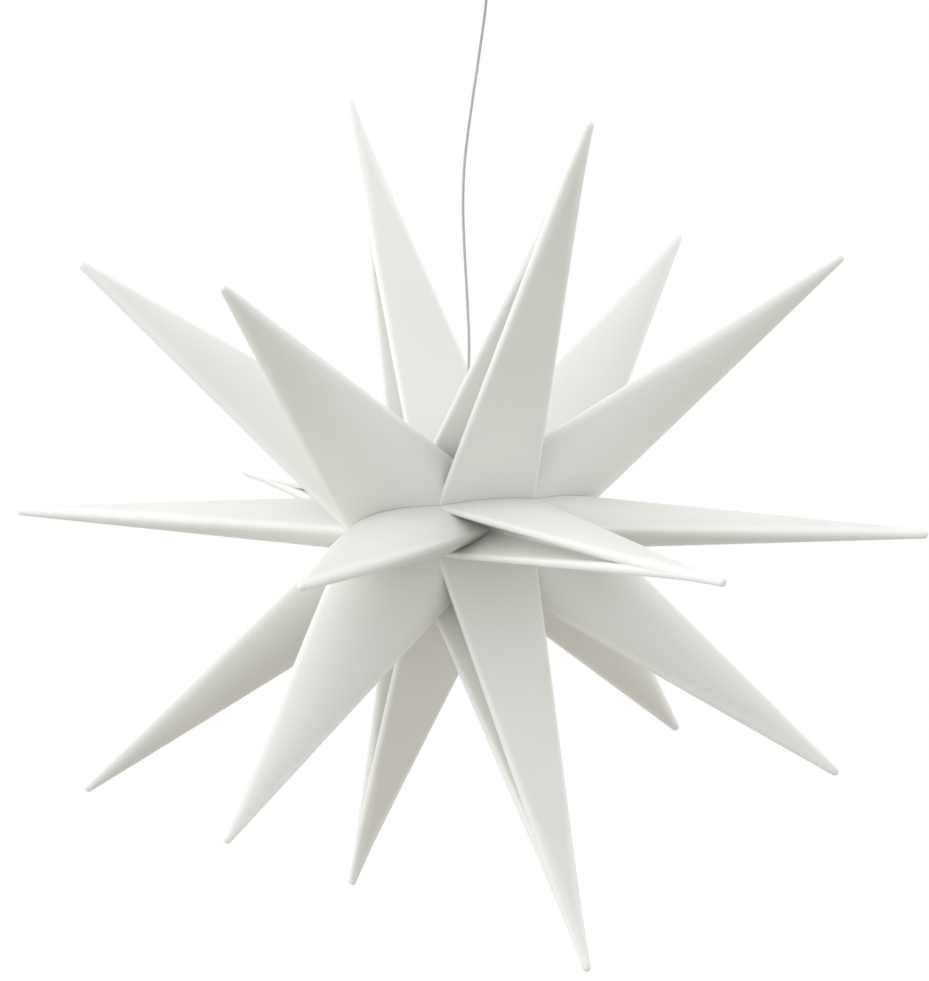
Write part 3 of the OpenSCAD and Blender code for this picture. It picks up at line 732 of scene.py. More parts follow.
    def spike(self, name, core, section, point, tip_turns, stations, edges):
        """A solid spike: rings round its tip, then its sections at the stations."""
        radius, tip = self.sizes.tip_radius, section(core)
        rings = [
            (core - radius * math.sin(a), [p * math.cos(a) for p in tip])
            for a in map(math.radians, tip_turns)]
        rings += [(back, section(back)) for back in stations]
        gaps = self.rim_gaps(rings, edges)
        rings = [[point(back, p.x, p.y) for p in outline] for back, outline in rings]
        return loft(name, rings, point(core - radius, 0, 0), [*gaps, 0])

    def side_point(self, back, across, up):
        return Vector((
            self.apex.x - back * math.cos(self.bearing) + across * math.sin(self.bearing),
            -(self.apex.y - back * math.sin(self.bearing) - across * math.cos(self.bearing)),
            up))

    def side_section(self, back):
        """Outline of a side spike at a distance back from its virtual apex."""
        radius = self.radius_at(back)
        grown_by = back - self.side_core
        spread = radius / math.cos(self.half_angle) if grown_by > 0 else radius
        thinner = self.sizes.tip_radius - radius
        wide = grown_by + thinner / math.sin(self.half_angle)
        high = grown_by + thinner / self.core_slope
        outline = [
            Vector((core.x * wide + normal.x * spread, core.y * high + normal.y * radius))
            for core, normal in self.lens]
        ends = [Vector((outline[-1].x, self.below)), Vector((outline[0].x, self.below))]
        return outline + ends

    def side_spike(self, name):
        core = self.side_core
        return self.spike(
            name, core, self.side_section, self.side_point, self.side_tip_turns,
            [core + 3 * MM, *self.side_stations, self.side_end], (0, len(self.lens) - 1))

    def side_hollow(self, name):
        sizes = self.sizes
        start = (sizes.wall + self.side_nose_room) / self.side_slope
        rings = []
        for back in (start, (start + self.side_end) / 2, self.side_end):
            half = back * math.tan(self.half_angle) - sizes.weld_rim
            rings.append([
                self.side_point(back, c * half, self.side_slope * back * bulge - sizes.wall)
                for c, bulge in self.lens_curve()])
        return loft(name, rings, self.side_point(start - self.pole_lead, 0, -sizes.wall))

    def belt_section(self, back):
        """Outline of half a middle spike at a distance back from its virtual apex."""
        sizes, radius = self.sizes, self.radius_at(back)
        half = back * self.width_slope
        wide = max(half - radius, 0)
        high = max(back * self.corner_slope - radius, 0)
        rise = back * (self.crest_slope - self.corner_slope)
        bow = rise / max(wide, half / 2)
        crest = []
        for i in range(self.crest_steps + 1):
            w = 2 * i / self.crest_steps - 1
            normal = Vector((2 * bow * w, 1)).normalized()
            crest.append(Vector((w * wide, high + rise * (1 - w * w))) + radius * normal)
        top = math.atan2(1, 2 * bow)
        core = Vector((wide, high))
        web = sizes.pleat_web
        if high > radius:
            slant = math.atan2(high, wide - web) - math.asin(
                radius / Vector((wide - web, high)).length)
            low = slant - math.pi / 2
            small = min(sizes.valley_radius, 0.85 * (wide - web) * math.sin(slant))
            centre = Vector((web + small / math.sin(slant), 0))
            start = math.pi / 2 + slant
            valley = [
                centre + small * direction(start + (math.pi - start) * i / self.valley_steps)
                for i in range(self.valley_steps + 1)]
        else:
            low = -math.asin(high / radius)
            end = wide + radius * math.cos(low)
            valley = [
                Vector((end * (1 - 0.1 * (i + 1)), 0)) for i in range(self.valley_steps + 1)]
        edge = [
            core + radius * direction(top + (low - top) * (i + 1) / self.edge_steps)
            for i in range(self.edge_steps)]
        right = edge + valley + [Vector((valley[-1].x, self.below))]
        left = [Vector((-p.x, p.y)) for p in reversed(right)]
        return crest + right + left

    def belt_point(self, back, across, up):
        return Vector((across, back - self.belt_apex, up))

    def belt_spike(self, name):
        core, half_edge = self.belt_core, self.edge_steps // 2
        count = len(self.belt_section(core))
        return self.spike(
            name, core, self.belt_section, self.belt_point, self.belt_tip_turns,
            [core + 2 * MM, *self.belt_stations, self.belt_apex],
            (self.crest_steps + half_edge, count - 1 - half_edge))

    def belt_hollow(self, name):
        sizes = self.sizes
        tilt = math.atan2(self.corner_slope, self.width_slope)
        floor = sizes.wall / math.cos(tilt)
        start = (sizes.wall + floor + self.belt_nose_room) / self.corner_slope
        inset = (sizes.wall + floor) / self.corner_slope * self.width_slope
        rings = []
        for back in (start, 0.14, 0.22, self.belt_apex):
            half = back * self.width_slope
            corner = back * self.corner_slope
            rise = back * (self.crest_slope - self.corner_slope)
            ring = []
            for i in range(self.crest_steps + 1):
                w = (2 * i / self.crest_steps - 1) * (half - inset)
                up = corner + rise * (1 - (w / half) ** 2) - sizes.wall
                ring.append(self.belt_point(back, w, up))
            ring.append(self.belt_point(back, 0, floor))
            rings.append(ring)
        pole = self.belt_point(start - self.pole_lead, 0, floor + 0.1 * MM)
        return loft(name, rings, pole)

    def wedge(self, name):
        """The space of half a segment, from its mid plane to the next seam."""
        start = self.sizes.seam_gap / 2 / math.sin(self.half_step)
        far = self.sizes.belt_reach + 30 * MM
        up = (far - start) * math.tan(self.half_step)
        outline = [(-start, 0), (-far, 0), (-far, up)]
        rings = [[Vector((x, y, z)) for y, z in outline] for x in (-far, far)]
        return loft(name, rings)

    def neck_hole(self, name):
        """The hole that the closing seam leaves for the collar's neck."""
        hole = lathe(name, [
            (1e-5, 0, 0), (self.sizes.neck_hole, 0, 0),
            (self.sizes.neck_hole, 2 * self.sizes.crest_radius, 0),
            (1e-5, 2 * self.sizes.crest_radius, 0)], steps=48)
        hole.transform(Matrix.Rotation(math.pi / 2 - self.half_step, 4, "X"))
        return hole

    def half_shell(self):
        """One half shell lying down: the spikes, cut to the wedge and hollowed."""
        mirror = Matrix.Scale(-1, 4, Vector((1, 0, 0)))

        def other(mesh):
            mesh.transform(mirror)
            mesh.flip_normals()
            return mesh

        return carved("half_shell", self.belt_spike("belt"), [
            ("UNION", self.side_spike("right_spike")),
            ("UNION", other(self.side_spike("left_spike"))),
            ("INTERSECT", self.wedge("wedge")),
            ("DIFFERENCE", self.side_hollow("right_hollow")),
            ("DIFFERENCE", other(self.side_hollow("left_hollow"))),
            ("DIFFERENCE", self.belt_hollow("belt_hollow"))])


# Settings


def length(name, description, millimetres, precision=4, **limits):
    return FloatProperty(
        name=name, description=description, default=millimetres * MM, unit="LENGTH",
        precision=precision, **limits)


def how_many(name, description, default, low, high):
    return IntProperty(name=name, description=description, default=default, min=low, max=high)


def colour_property(name, description, hex_colour):
    return FloatVectorProperty(
        name=name, description=description, subtype="COLOR", size=3, min=0, max=1,
        default=linear(hex_colour))


class StarShellSizes(bpy.types.PropertyGroup):
    """Sizes of the star's hollow spikes"""

    belt_reach: length("Middle Reach", "Reach of a middle spike from the star's centre", 285)
    side_reach: length("Side Reach", "Reach of a side spike from the star's centre", 279)
    side_angle: FloatProperty(
        name="Side Angle", description="Angle between the long axis and a side spike",
        default=math.radians(41.2), subtype="ANGLE")
    tip_radius: length("Tip Radius", "Radius of the rounded tips", 2.6)
    edge_radius: length("Edge Radius", "Radius of the spikes' edges at their foot", 1.5)
    waist_radius: length("Waist Radius", "Radius of the spikes' edges at the waist", 3.3)
    waist_distance: length(
        "Waist Distance", "Distance from a spike's point back to its waist",
        95, min=60 * MM, max=200 * MM)
    valley_radius: length("Valley Radius", "Radius at the bottom of a pleat", 1.2)
    pleat_web: length("Pleat Web", "Half width of the web along the bottom of a pleat", 0.5)
    foot_half_width: length("Foot Half Width", "Half width of a middle spike at its foot", 33.6)
    corner_radius: length("Corner Radius", "Distance from the long axis to a foot's corner", 31)
    crest_radius: length("Crest Radius", "Distance from the long axis to a seam's crest", 35.4)
    pleat_radius: length("Pleat Radius", "Distance from the long axis to a pleat's bottom", 33)
    pole_reach: length("Pole Reach", "Distance from the centre to where side spikes meet", 80)
    side_half_thickness: length(
        "Side Half Thickness", "Half thickness of a side spike at its foot", 17.2)
    fullness: FloatProperty(
        name="Lens Fullness", description="Power of a side spike's rounded section",
        default=0.8, min=0.5, max=1.2, subtype="FACTOR")
    wall: length("Wall", "Thickness of the moulded wall", 1)
    weld_rim: length("Weld Rim", "Extra wall along the welded edges", 1)
    seam_gap: length("Seam Gap", "Gap between two neighbouring segments", 0.14, precision=5)
    neck_hole: length("Neck Hole", "Radius of the hole in the closing seam", 4.4)


class StarFittingSizes(bpy.types.PropertyGroup):
    """Sizes of the lead, the collar, the lamp and the ceiling fitting"""

    lead_diameter: length("Lead Diameter", "Diameter of the lead's sheath", 1.6)
    neck_radius: length("Neck Radius", "Radius of the collar's neck in the closing seam", 4)
    flange_thickness: length("Flange Thickness", "Thickness of the collar's flange", 2.4)
    stem_length: length("Stem Length", "Length of the collar's threaded stem", 5)
    relief_tip_radius: length(
        "Strain Relief Tip", "Radius of the strain relief at its thin end", 1.5)
    relief_rings: how_many("Strain Relief Rings", "Rings moulded round the strain relief", 5, 2, 6)
    lamp_wall: length("Lamp Wall", "Wall of the cap and the diffuser", 1.5)
    cap_crown_radius: length("Cap Crown Radius", "Radius of the lamp cap's flat top", 11)
    cap_top: length("Cap Top", "Thickness of the lamp cap's top", 3)
    cap_shoulder: length("Cap Shoulder", "Height of the lamp cap's tapered shoulder", 8)
    cap_ribs: how_many("Cap Ribs", "Grip ribs round the lamp's cap", 24, 6, 48)
    diffuser_lap: length("Diffuser Lap", "Depth that the diffuser is pushed over the cap", 5)
    diffuser_round: length("Diffuser Round", "Radius of the diffuser's bottom edge", 9)
    strip_width: length("Strip Width", "Width of a light strip", 5.2)
    strip_thickness: length("Strip Thickness", "Thickness of a light strip", 0.8)
    chip_size: length("Chip Size", "Side of a light chip", 2.8)
    chips_per_strip: how_many("Chips per Strip", "Light chips on each strip", 4, 2, 6)
    cup_wall: length("Cup Wall", "Wall of the ceiling cup", 1.5)
    cup_screw_hole: length("Cup Screw Hole", "Radius of the cup's two side holes", 1.8)
    grip_radius: length("Cord Grip Radius", "Radius of the cord grip below the cup", 6)
    grip_ribs: how_many("Grip Ribs", "Ribs round the cord grip", 16, 6, 32)


class StarFinishes(bpy.types.PropertyGroup):
    """Colours of the star's finishes"""

    shell: colour_property("Shells", "Satin polypropylene of the spikes", "#e5e7e2")
    # Painted highlight: the whiter colour painted along the spikes' edges, where the rounded edges
    # catch the light
    shell_rim: colour_property("Shell Rims", "Solid welded rims of the spikes", "#eff0ed")
    white_plastic: colour_property("White Plastic", "Polished ABS of the fittings", "#f0f0ec")
    lead_sheath: colour_property("Lead", "Soft PVC of the lead", "#b4b5b2")
    light_metal: colour_property("Aluminium", "Lamp's board carrier", "#c9cbcd")
    steel: colour_property("Steel", "Bracket, screws and nut", "#b3b7ba")
    circuit_board: colour_property("Circuit Board", "Solder mask of the strips", "#f2f2ec")
    chip: colour_property("Light Chips", "Phosphor of the light chips", "#f1dc8a")
    diffuser: colour_property("Diffuser", "Frosted polycarbonate", "#f5f5ee")
    driver_case: colour_property("Driver", "Case of the driver and the terminals", "#e6e6e0")


class StarStageSettings(bpy.types.PropertyGroup):
    """The camera, the floor and the lights"""

    turn: FloatProperty(
        name="Camera Turn", description="Turn of the camera from the star's cross axis",
        default=math.radians(30.13), subtype="ANGLE")
    tilt: FloatProperty(
        name="Camera Tilt", description="How far the camera looks down",
        default=math.radians(7.32), subtype="ANGLE")
    distance: FloatProperty(
        name="Camera Distance", description="Distance from the star's centre",
        default=2.9574, unit="LENGTH")
    lens: FloatProperty(
        name="Lens", description="Focal length on a 36 mm sensor", default=180.88, unit="CAMERA")
    floor_depth: FloatProperty(
        name="Floor Depth", description="Distance from the ceiling down to the floor",
        default=2.4, unit="LENGTH")
    ambient: FloatProperty(
        name="Ambient", description="Strength of the light tent at eye level, at both sides",
        default=2.27, min=0, max=4)
    tent_lean: FloatVectorProperty(
        name="Tent Lean", description="How much brighter the light tent is towards each axis",
        subtype="XYZ", default=(-0.06, 0.1, -0.75))
    tent_depth: FloatProperty(
        name="Tent Depth", description="How much dimmer the tent is before and behind the star",
        default=1.45, min=0, max=2)
    key_power: FloatProperty(
        name="Key Power", description="Power of the large soft lamp above",
        default=1.5, min=0, unit="POWER")


# Operators


def lead_points():
    """The lead's smooth route in the row frame, two steps to each stretch."""
    across = Vector((math.cos(LEAD_BEARING), math.sin(LEAD_BEARING), 0))
    route = [Vector(p) for p in LEAD_ROUTE]
    smooth = []
    for i in range(len(route) - 1):
        a, b, c = route[max(i - 1, 0)], route[i], route[i + 1]
        d = route[min(i + 2, len(route) - 1)]
        for t in (0, 0.5):
            smooth.append(0.5 * (
                2 * b + (c - a) * t + (2 * a - 5 * b + 4 * c - d) * t ** 2
                + (3 * b - a - 3 * c + d) * t ** 3))
    smooth.append(route[-1])
    return [STAR + across * p.x + Vector((0, 0, p.y)) for p in smooth]


class STAR_OT_camera(bpy.types.Operator):
    """Place the camera at the photograph's viewing angle"""

    bl_idname = "star.camera"
    bl_label = "Place Camera"

    # The star sits a little off the middle of the frame
    aim_left = 0.24 * MM
    aim_up = 19.2 * MM

    def execute(self, context):
        stage = context.scene.star_stage
        turn, tilt = stage.turn, stage.tilt
        right = Vector((math.cos(turn), -math.sin(turn), 0))
        ahead = Vector((
            math.sin(turn) * math.cos(tilt), math.cos(turn) * math.cos(tilt), -math.sin(tilt)))
        up = right.cross(ahead)
        camera = linked("camera", bpy.data.cameras.new("camera"))
        camera.data.lens = stage.lens
        camera.data.sensor_width = 36
        camera.data.clip_start = 0.05
        camera.data.clip_end = 200
        aim = STAR - right * self.aim_left + up * self.aim_up
        place = aim - ahead * stage.distance
        camera.matrix_world = Matrix.Translation(place) @ Matrix(
            (right, up, -ahead)).transposed().to_4x4()
        context.scene.camera = camera
        return {"FINISHED"}


class STAR_OT_lead(bpy.types.Operator):
    """Draw the lead from the ceiling fitting down to the lamp"""

    bl_idname = "star.lead"
    bl_label = "Add Lead"

    def execute(self, context):
        diameter = context.scene.star_fittings.lead_diameter
        points = lead_points()
        curve = bpy.data.curves.new("lead", "CURVE")
        curve.dimensions = "3D"
        curve.bevel_depth = diameter / 2
        curve.bevel_resolution = 4
        curve.use_fill_caps = True
        spline = curve.splines.new("POLY")
        spline.points.add(len(points) - 1)
        for spot, point in zip(spline.points, points):
            spot.co = (*point, 1)
        spline.use_smooth = True
        lead = linked("lead_sheath", curve)
        curve.materials.append(finish("lead_sheath"))
        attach(lead, ROOT)
        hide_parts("lead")
        return {"FINISHED"}


class STAR_OT_half_shells(bpy.types.Operator):
    """Build the twelve half shells and roll them into place"""

    bl_idname = "star.half_shells"
    bl_label = "Add Half Shells"

    def execute(self, context):
        form = StarForm(context.scene.star_shells)
        plain = form.half_shell()
        holed = carved("holed_shell", plain.copy(), [
            ("DIFFERENCE", form.neck_hole("neck_hole"))])
        for number, half in HALVES:
            lower = half == "b"
            closing = (number, half) in ((1, "a"), (SEGMENTS, "b"))
            source = (holed if closing else plain).copy()
            mesh = grown("rolled_half", source, segment_tree(), {
                "Segment": number, "Segments": SEGMENTS, "Lower half": lower,
                "Centre": tuple(STAR), "Material": finish("shell")})
            node = shell_name(number, half)
            piece_of(
                f"spikes_{number}{half}", mesh, "shell", node, body=f"segment_{number}", sharp=24)
        return {"FINISHED"}


class STAR_OT_collar(bpy.types.Operator):
    """Turn the collar that the closing seam rests on, and the strain relief above it"""

    bl_idname = "star.collar"
    bl_label = "Add Collar"

    def execute(self, context):
        sizes = context.scene.star_fittings
        bore = sizes.lead_diameter / 2 + LEAD_CLEARANCE
        self.turn_collar(sizes, bore)
        self.turn_relief(sizes, bore)
        return {"FINISHED"}

    def turn_collar(self, sizes, bore):
        foot, size = foot_and_size("seam_collar")
        flange, neck, stem = size.x / 2, sizes.neck_radius, sizes.neck_radius + STEM_STEP
        under, top = sizes.stem_length, sizes.stem_length + sizes.flange_thickness
        root, pitch = stem - 0.5 * MM, 1 * MM
        corners = [(bore, 0, 0), (root, 0, 0.2 * MM)]
        for k in range(int(under / pitch) - 1):
            low = (k + 0.4) * pitch
            corners += [
                (root, low, 0), (stem, low + 0.3 * pitch, 0), (stem, low + 0.45 * pitch, 0),
                (root, low + 0.75 * pitch, 0)]
        corners += [
            (root, under, 0), (flange, under, 0.5 * MM), (flange, top, 0.7 * MM),
            (neck, top, 0.5 * MM), (neck, size.z, 0.3 * MM), (bore, size.z, 0)]
        turned_piece("collar", corners, "white_plastic", "seam_collar", foot)

    def turn_relief(self, sizes, bore):
        foot, size = foot_and_size("strain_relief")
        base, tip = size.x / 2, sizes.relief_tip_radius
        shoulder, end = 1.5 * MM, size.z - 1 * MM
        pitch = (end - shoulder) / sizes.relief_rings

        def taper(up):
            return base + (tip - base) * (up - shoulder) / (end - shoulder)

        corners = [(bore, 0, 0), (base, 0, 0.2 * MM)]
        for k in range(sizes.relief_rings):
            up = shoulder + k * pitch
            depth = 0.24 * taper(up + pitch / 2)
            corners += [
                (taper(up), up, 0.2 * MM),
                (taper(up) - depth, up + 0.15 * pitch, 0.1 * MM),
                (taper(up + 0.55 * pitch) - depth, up + 0.5 * pitch, 0.1 * MM),
                (taper(up + 0.6 * pitch), up + 0.6 * pitch, 0.2 * MM)]
        corners += [(tip, end, 0.2 * MM), (tip - 0.2 * MM, size.z, 0.1 * MM), (bore, size.z, 0)]
        turned_piece("relief_sleeve", corners, "lead_sheath", "strain_relief", foot)


class STAR_OT_lamp_cap(bpy.types.Operator):
    """Turn the lamp's cap and set its grip ribs"""

    bl_idname = "star.lamp_cap"
    bl_label = "Add Lamp Cap"

    def execute(self, context):
        sizes = context.scene.star_fittings
        foot, size = foot_and_size("lamp_cap")
        outer, height = size.x / 2, size.z
        inner, stem = outer - sizes.lamp_wall, sizes.neck_radius + STEM_STEP
        waist = height - sizes.cap_shoulder
        crown = sizes.cap_crown_radius
        under = crown + (outer - crown) * sizes.cap_top / sizes.cap_shoulder - sizes.lamp_wall
        turned_piece("cap_body", [
            (inner, 0, 0.3 * MM), (outer, 0, 0.5 * MM), (outer, waist, 2 * MM),
            (crown, height, 1 * MM), (stem, height, 0.3 * MM), (stem, height - sizes.cap_top, 0),
            (under, height - sizes.cap_top, 0.8 * MM), (inner, waist - 0.4 * MM, 1 * MM)],
            "white_plastic", "lamp_cap", foot)
        rib = rounded_box(
            "cap_rib", (outer - 0.6 * MM, -0.5 * MM, sizes.diffuser_lap + 0.8 * MM),
            (outer + 0.35 * MM, 0.5 * MM, waist - 0.8 * MM), 0.25 * MM, 2)
        ribs = round_axis("cap_ribs", rib, sizes.cap_ribs, "white_plastic", foot)
        piece_of("cap_ribs", ribs, "white_plastic")
        return {"FINISHED"}


class STAR_OT_light_board(bpy.types.Operator):
    """Stick the light strips and their chips round the carrier"""

    bl_idname = "star.light_board"
    bl_label = "Add Light Strips"

    sides = 6

    def execute(self, context):
        sizes = context.scene.star_fittings
        # One strip faces +Y, so the box's half depth is the radius of its outer face
        foot, size = foot_and_size("light_strips")
        face, half = size.y / 2, sizes.strip_width / 2
        strip = rounded_box(
            "strip", (face - sizes.strip_thickness, -half, 0), (face, half, size.z), 0.2 * MM, 2)
        first = math.pi / self.sides
        strips = round_axis("strips", strip, self.sides, "circuit_board", foot, first=first)
        piece_of("strip_boards", strips, "circuit_board", "light_strips")

        foot, size = foot_and_size("light_chips")
        chip, rows = sizes.chip_size, sizes.chips_per_strip
        spacing = (size.z - chip) / (rows - 1)
        frame_face = size.y / 2 - 0.15 * MM
        case = rounded_box(
            "chip_case", (face - 0.05 * MM, -chip / 2, 0), (frame_face, chip / 2, chip),
            0.2 * MM, 2)
        cases = round_axis(
            "chip_cases", case, self.sides, "circuit_board", foot, rows, spacing, first)
        piece_of("chip_cases", cases, "circuit_board")
        pad = lathe("gel_pad", [
            (0, 0, 0), (0.38 * chip, 0, 0), (0.38 * chip, 0.3 * MM, 0.15 * MM), (0, 0.3 * MM, 0)],
            steps=24, fillet_steps=3)
        pad.transform(
            Matrix.Translation((frame_face - 0.15 * MM, 0, chip / 2))
            @ Matrix.Rotation(math.pi / 2, 4, "Y"))
        pads = round_axis("gel_pads", pad, self.sides, "chip", foot, rows, spacing, first)
        piece_of("gel_pads", pads, "chip", "light_chips")
        return {"FINISHED"}


class STAR_OT_diffuser(bpy.types.Operator):
    """Turn the frosted globe round the light strips"""

    bl_idname = "star.diffuser"
    bl_label = "Add Diffuser"

    def execute(self, context):
        sizes = context.scene.star_fittings
        foot, size = foot_and_size("diffuser")
        outer, wall, bend = size.x / 2, sizes.lamp_wall, sizes.diffuser_round
        turned_piece("frosted_globe", [
            (0, 0, 0), (outer, 0, bend), (outer, size.z, 0.4 * MM),
            (outer - wall, size.z, 0.4 * MM), (outer - wall, wall, bend - wall), (0, wall, 0)],
            "diffuser", "diffuser", foot, steps=72, fillet_steps=10)
        return {"FINISHED"}


class STAR_OT_ceiling_cup(bpy.types.Operator):
    """Turn the ceiling cup and drill its two side holes"""

    bl_idname = "star.ceiling_cup"
    bl_label = "Add Ceiling Cup"

    def execute(self, context):
        sizes = context.scene.star_fittings
        foot, size = foot_and_size("ceiling_cup")
        outer, wall, height = size.x / 2, sizes.cup_wall, size.z
        groove, rim = 0.4 * MM, height - 2.5 * MM
        bore = sizes.neck_radius + 0.2 * MM
        cup = lathe("cup", [
            (bore, 0, 0.3 * MM), (outer, 0, 4 * MM), (outer, rim - 0.8 * MM, 0.1 * MM),
            (outer - groove, rim - 0.5 * MM, 0.1 * MM), (outer - groove, rim - 0.2 * MM, 0.1 * MM),
            (outer, rim, 0.1 * MM), (outer, height, 0.4 * MM), (outer - wall, height, 0.3 * MM),
            (outer - wall, wall, 3 * MM), (bore, wall, 0.3 * MM)], steps=96)
        screws_foot, screws_size = foot_and_size("cup_screws")
        hole_height = screws_foot.z + screws_size.z / 2 - foot.z
        drilled = carved("cup", cup, [
            ("DIFFERENCE", cross_bar("drill", sizes.cup_screw_hole, 2 * outer, hole_height))])
        piece_of("cup_shell", moved(drilled, foot), "white_plastic", "ceiling_cup")
        return {"FINISHED"}


class STAR_OT_cord_grip(bpy.types.Operator):
    """Turn the cord grip and set its ribs"""

    bl_idname = "star.cord_grip"
    bl_label = "Add Cord Grip"

    def execute(self, context):
        sizes = context.scene.star_fittings
        foot, size = foot_and_size("cord_grip")
        bore, outer = sizes.lead_diameter / 2 + LEAD_CLEARANCE, sizes.grip_radius
        # The cup's floor rests on the grip's shoulder
        shoulder = foot_and_size("ceiling_cup")[0].z - foot.z
        turned_piece("grip_body", [
            (bore, 0, 0.2 * MM), (outer - 3 * MM, 0, 1 * MM), (outer, 5 * MM, 2 * MM),
            (outer, shoulder, 0.3 * MM), (sizes.neck_radius, shoulder, 0),
            (sizes.neck_radius, size.z, 0.4 * MM), (bore, size.z, 0)],
            "white_plastic", "cord_grip", foot)
        rib = rounded_box(
            "grip_rib", (outer - 0.5 * MM, -0.4 * MM, 6 * MM),
            (outer + 0.3 * MM, 0.4 * MM, shoulder - 0.8 * MM), 0.2 * MM, 2)
        ribs = round_axis("grip_ribs", rib, sizes.grip_ribs, "white_plastic", foot)
        piece_of("grip_ribs", ribs, "white_plastic")
        return {"FINISHED"}


class STAR_OT_driver(bpy.types.Operator):
    """Build the driver's two-part case under the bracket"""

    bl_idname = "star.driver"
    bl_label = "Add Driver"

    def execute(self, context):
        low, high = (Vector(corner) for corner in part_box("lead_driver"))
        joint = low.z + 0.65 * (high.z - low.z)
        inset = Vector((0.3 * MM, 0.3 * MM, 0))
        tray = rounded_box("driver_tray", low, (high.x, high.y, joint - 0.15 * MM), 1 * MM)
        lid = rounded_box("driver_lid", (low.x, low.y, joint + 0.15 * MM), high, 0.6 * MM)
        core = rounded_box(
            "driver_core", Vector((low.x, low.y, joint - 1 * MM)) + inset,
            Vector((high.x, high.y, joint + 1 * MM)) - inset, 0.3 * MM)
        case = joined("driver_case", [tray, lid, core])
        piece_of("driver_case", case, "driver_case", "lead_driver")
        return {"FINISHED"}


class STAR_OT_plain_pieces(bpy.types.Operator):
    """Give the leaves, studs, screws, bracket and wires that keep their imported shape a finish"""

    bl_idname = "star.plain_pieces"
    bl_label = "Finish Plain Pieces"

    def execute(self, context):
        for part in frame["record"]["subparts"]:
            solid = frame["nodes"][part["node"]]
            for place in solid.material_slots:
                place.material = finish(part["material_slot"])
        return {"FINISHED"}


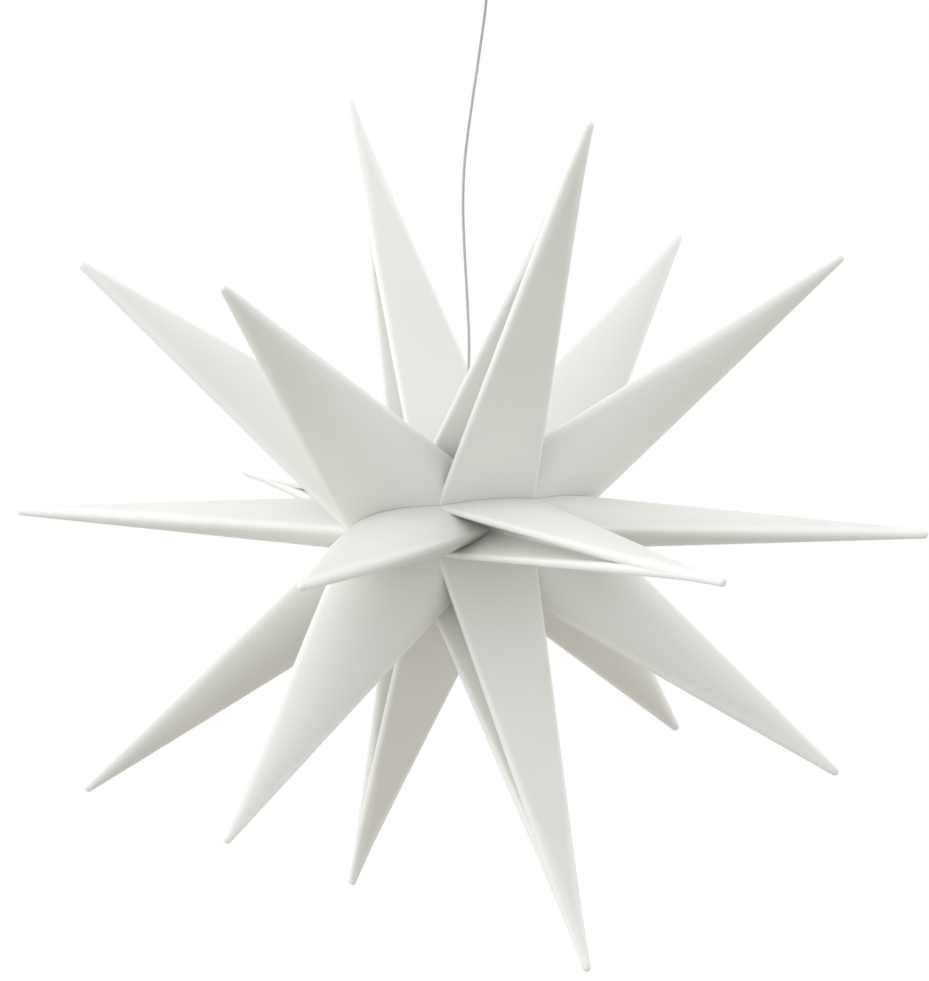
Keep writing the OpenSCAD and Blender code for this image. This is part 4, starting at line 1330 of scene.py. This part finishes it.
class STAR_OT_stage(bpy.types.Operator):
    """Lay the floor and hang the soft lights"""

    bl_idname = "star.stage"
    bl_label = "Set Stage"

    floor_half_width = 8
    floor_glow = 0.6
    key_size = 1.6
    key_place = STAR + Vector((-1.2, 0.2, 1.8))

    def execute(self, context):
        stage = context.scene.star_stage
        self.lay_floor(stage)
        self.light_world(stage)
        self.hang_key(stage)
        context.scene.view_settings.view_transform = "Standard"
        return {"FINISHED"}

    def lay_floor(self, stage):
        half = self.floor_half_width
        spots = ((-half, -half), (half, -half), (half, half), (-half, half))
        mesh = bpy.data.meshes.new("floor")
        mesh.from_pydata([(x, y, -stage.floor_depth) for x, y in spots], [], [(0, 1, 2, 3)])
        floor = linked("floor", mesh)
        material, tree, place = blank_material("pale_studio_floor")
        # Painted board: a trace of roller texture, and white wherever the eye meets it
        paint = add_node(tree, "ShaderNodeTexNoise", inputs={
            "Vector": place, "Scale": size_to_scale(0.4), "Detail": 2.0})
        tint = add_node(tree, "ShaderNodeMix", {"data_type": "RGBA"}, {
            "Factor": paint.outputs["Fac"], "A": (*linear("#aaa49d"), 1),
            "B": (*linear("#ada8a0"), 1)})
        board = add_node(tree, "ShaderNodeBsdfPrincipled", inputs={
            "Base Color": tint.outputs["Result"], "Roughness": 0.8, "Specular IOR Level": 0.1})
        seen = self.seen_rays(tree)
        glow = add_node(tree, "ShaderNodeEmission", inputs={
            "Color": (1, 1, 1, 1), "Strength": self.floor_glow})
        dark = add_node(tree, "ShaderNodeEmission", inputs={"Strength": 0.0})
        lift = add_node(tree, "ShaderNodeMixShader", inputs={
            0: seen, 1: dark.outputs[0], 2: glow.outputs[0]})
        whole = add_node(tree, "ShaderNodeAddShader", inputs={
            0: board.outputs[0], 1: lift.outputs[0]})
        close_material(tree, whole.outputs[0])
        mesh.materials.append(material)

    def seen_rays(self, tree):
        """1 for rays that the camera, a reflection or a clear piece sends."""
        rays = add_node(tree, "ShaderNodeLightPath").outputs
        mirrored = add_node(tree, "ShaderNodeMath", {"operation": "MAXIMUM"}, {
            0: rays["Is Camera Ray"], 1: rays["Is Glossy Ray"]})
        seen = add_node(tree, "ShaderNodeMath", {"operation": "MAXIMUM"}, {
            0: mirrored.outputs[0], 1: rays["Is Transmission Ray"]})
        return seen.outputs[0]

    def light_world(self, stage):
        world = bpy.data.worlds.new("studio")
        world.use_nodes = True
        tree = world.node_tree
        tree.nodes.clear()
        # A light tent: brightest low down and at both sides, nearly alike in front and behind,
        # and plain white where it is seen
        towards = add_node(tree, "ShaderNodeTexCoord").outputs["Generated"]
        lean = add_node(tree, "ShaderNodeVectorMath", {"operation": "DOT_PRODUCT"}, {
            0: towards, 1: tuple(stage.tent_lean)})
        level = add_node(tree, "ShaderNodeMath", {"operation": "ADD"}, {
            0: lean.outputs["Value"], 1: stage.ambient})
        ahead = add_node(tree, "ShaderNodeVectorMath", {"operation": "DOT_PRODUCT"}, {
            0: towards, 1: (0, 1, 0)})
        depth = add_node(tree, "ShaderNodeMath", {"operation": "ABSOLUTE"}, {
            0: ahead.outputs["Value"]})
        dimming = add_node(tree, "ShaderNodeMath", {"operation": "MULTIPLY"}, {
            0: depth.outputs[0], 1: stage.tent_depth})
        tent = add_node(tree, "ShaderNodeMath", {"operation": "SUBTRACT"}, {
            0: level.outputs[0], 1: dimming.outputs[0]})
        strength = add_node(tree, "ShaderNodeMapRange", inputs={
            "Value": self.seen_rays(tree), "To Min": tent.outputs[0], "To Max": 1.0})
        sky = add_node(tree, "ShaderNodeBackground", inputs={
            "Color": (1, 1, 1, 1), "Strength": strength.outputs["Result"]})
        add_node(tree, "ShaderNodeOutputWorld", inputs={"Surface": sky.outputs[0]})
        bpy.context.scene.world = world

    def hang_key(self, stage):
        lamp = bpy.data.lights.new("key_light", "AREA")
        lamp.shape = "DISK"
        lamp.size = self.key_size
        lamp.energy = stage.key_power
        holder = linked("key_light", lamp)
        holder.location = self.key_place
        holder.rotation_euler = (STAR - self.key_place).to_track_quat("-Z", "Y").to_euler()


OPERATORS = (
    STAR_OT_camera,
    STAR_OT_lead,
    STAR_OT_half_shells,
    STAR_OT_collar,
    STAR_OT_lamp_cap,
    STAR_OT_light_board,
    STAR_OT_diffuser,
    STAR_OT_ceiling_cup,
    STAR_OT_cord_grip,
    STAR_OT_driver,
    STAR_OT_plain_pieces,
    STAR_OT_stage,
)


class STAR_PT_panel(bpy.types.Panel):
    """Buttons and settings of the folding star"""

    bl_idname = "STAR_PT_panel"
    bl_label = "Folding Star"
    bl_space_type = "VIEW_3D"
    bl_region_type = "UI"
    bl_category = "Star"

    def draw(self, context):
        for operator in OPERATORS:
            self.layout.operator(operator.bl_idname)
        for group in (getattr(context.scene, key) for key in GROUPS):
            box = self.layout.box()
            for key in group.__annotations__:
                box.prop(group, key)


GROUPS = {
    "star_shells": StarShellSizes,
    "star_fittings": StarFittingSizes,
    "star_finishes": StarFinishes,
    "star_stage": StarStageSettings,
}


def register():
    for kind in (*GROUPS.values(), *OPERATORS, STAR_PT_panel):
        bpy.utils.register_class(kind)
    for key, kind in GROUPS.items():
        setattr(bpy.types.Scene, key, PointerProperty(type=kind))


def unregister():
    for key in GROUPS:
        delattr(bpy.types.Scene, key)
    for kind in reversed((*GROUPS.values(), *OPERATORS, STAR_PT_panel)):
        bpy.utils.unregister_class(kind)


def main():
    register()
    for operator in OPERATORS:
        getattr(bpy.ops.star, operator.bl_idname.removeprefix("star."))()


if __name__ == "__main__":
    main()
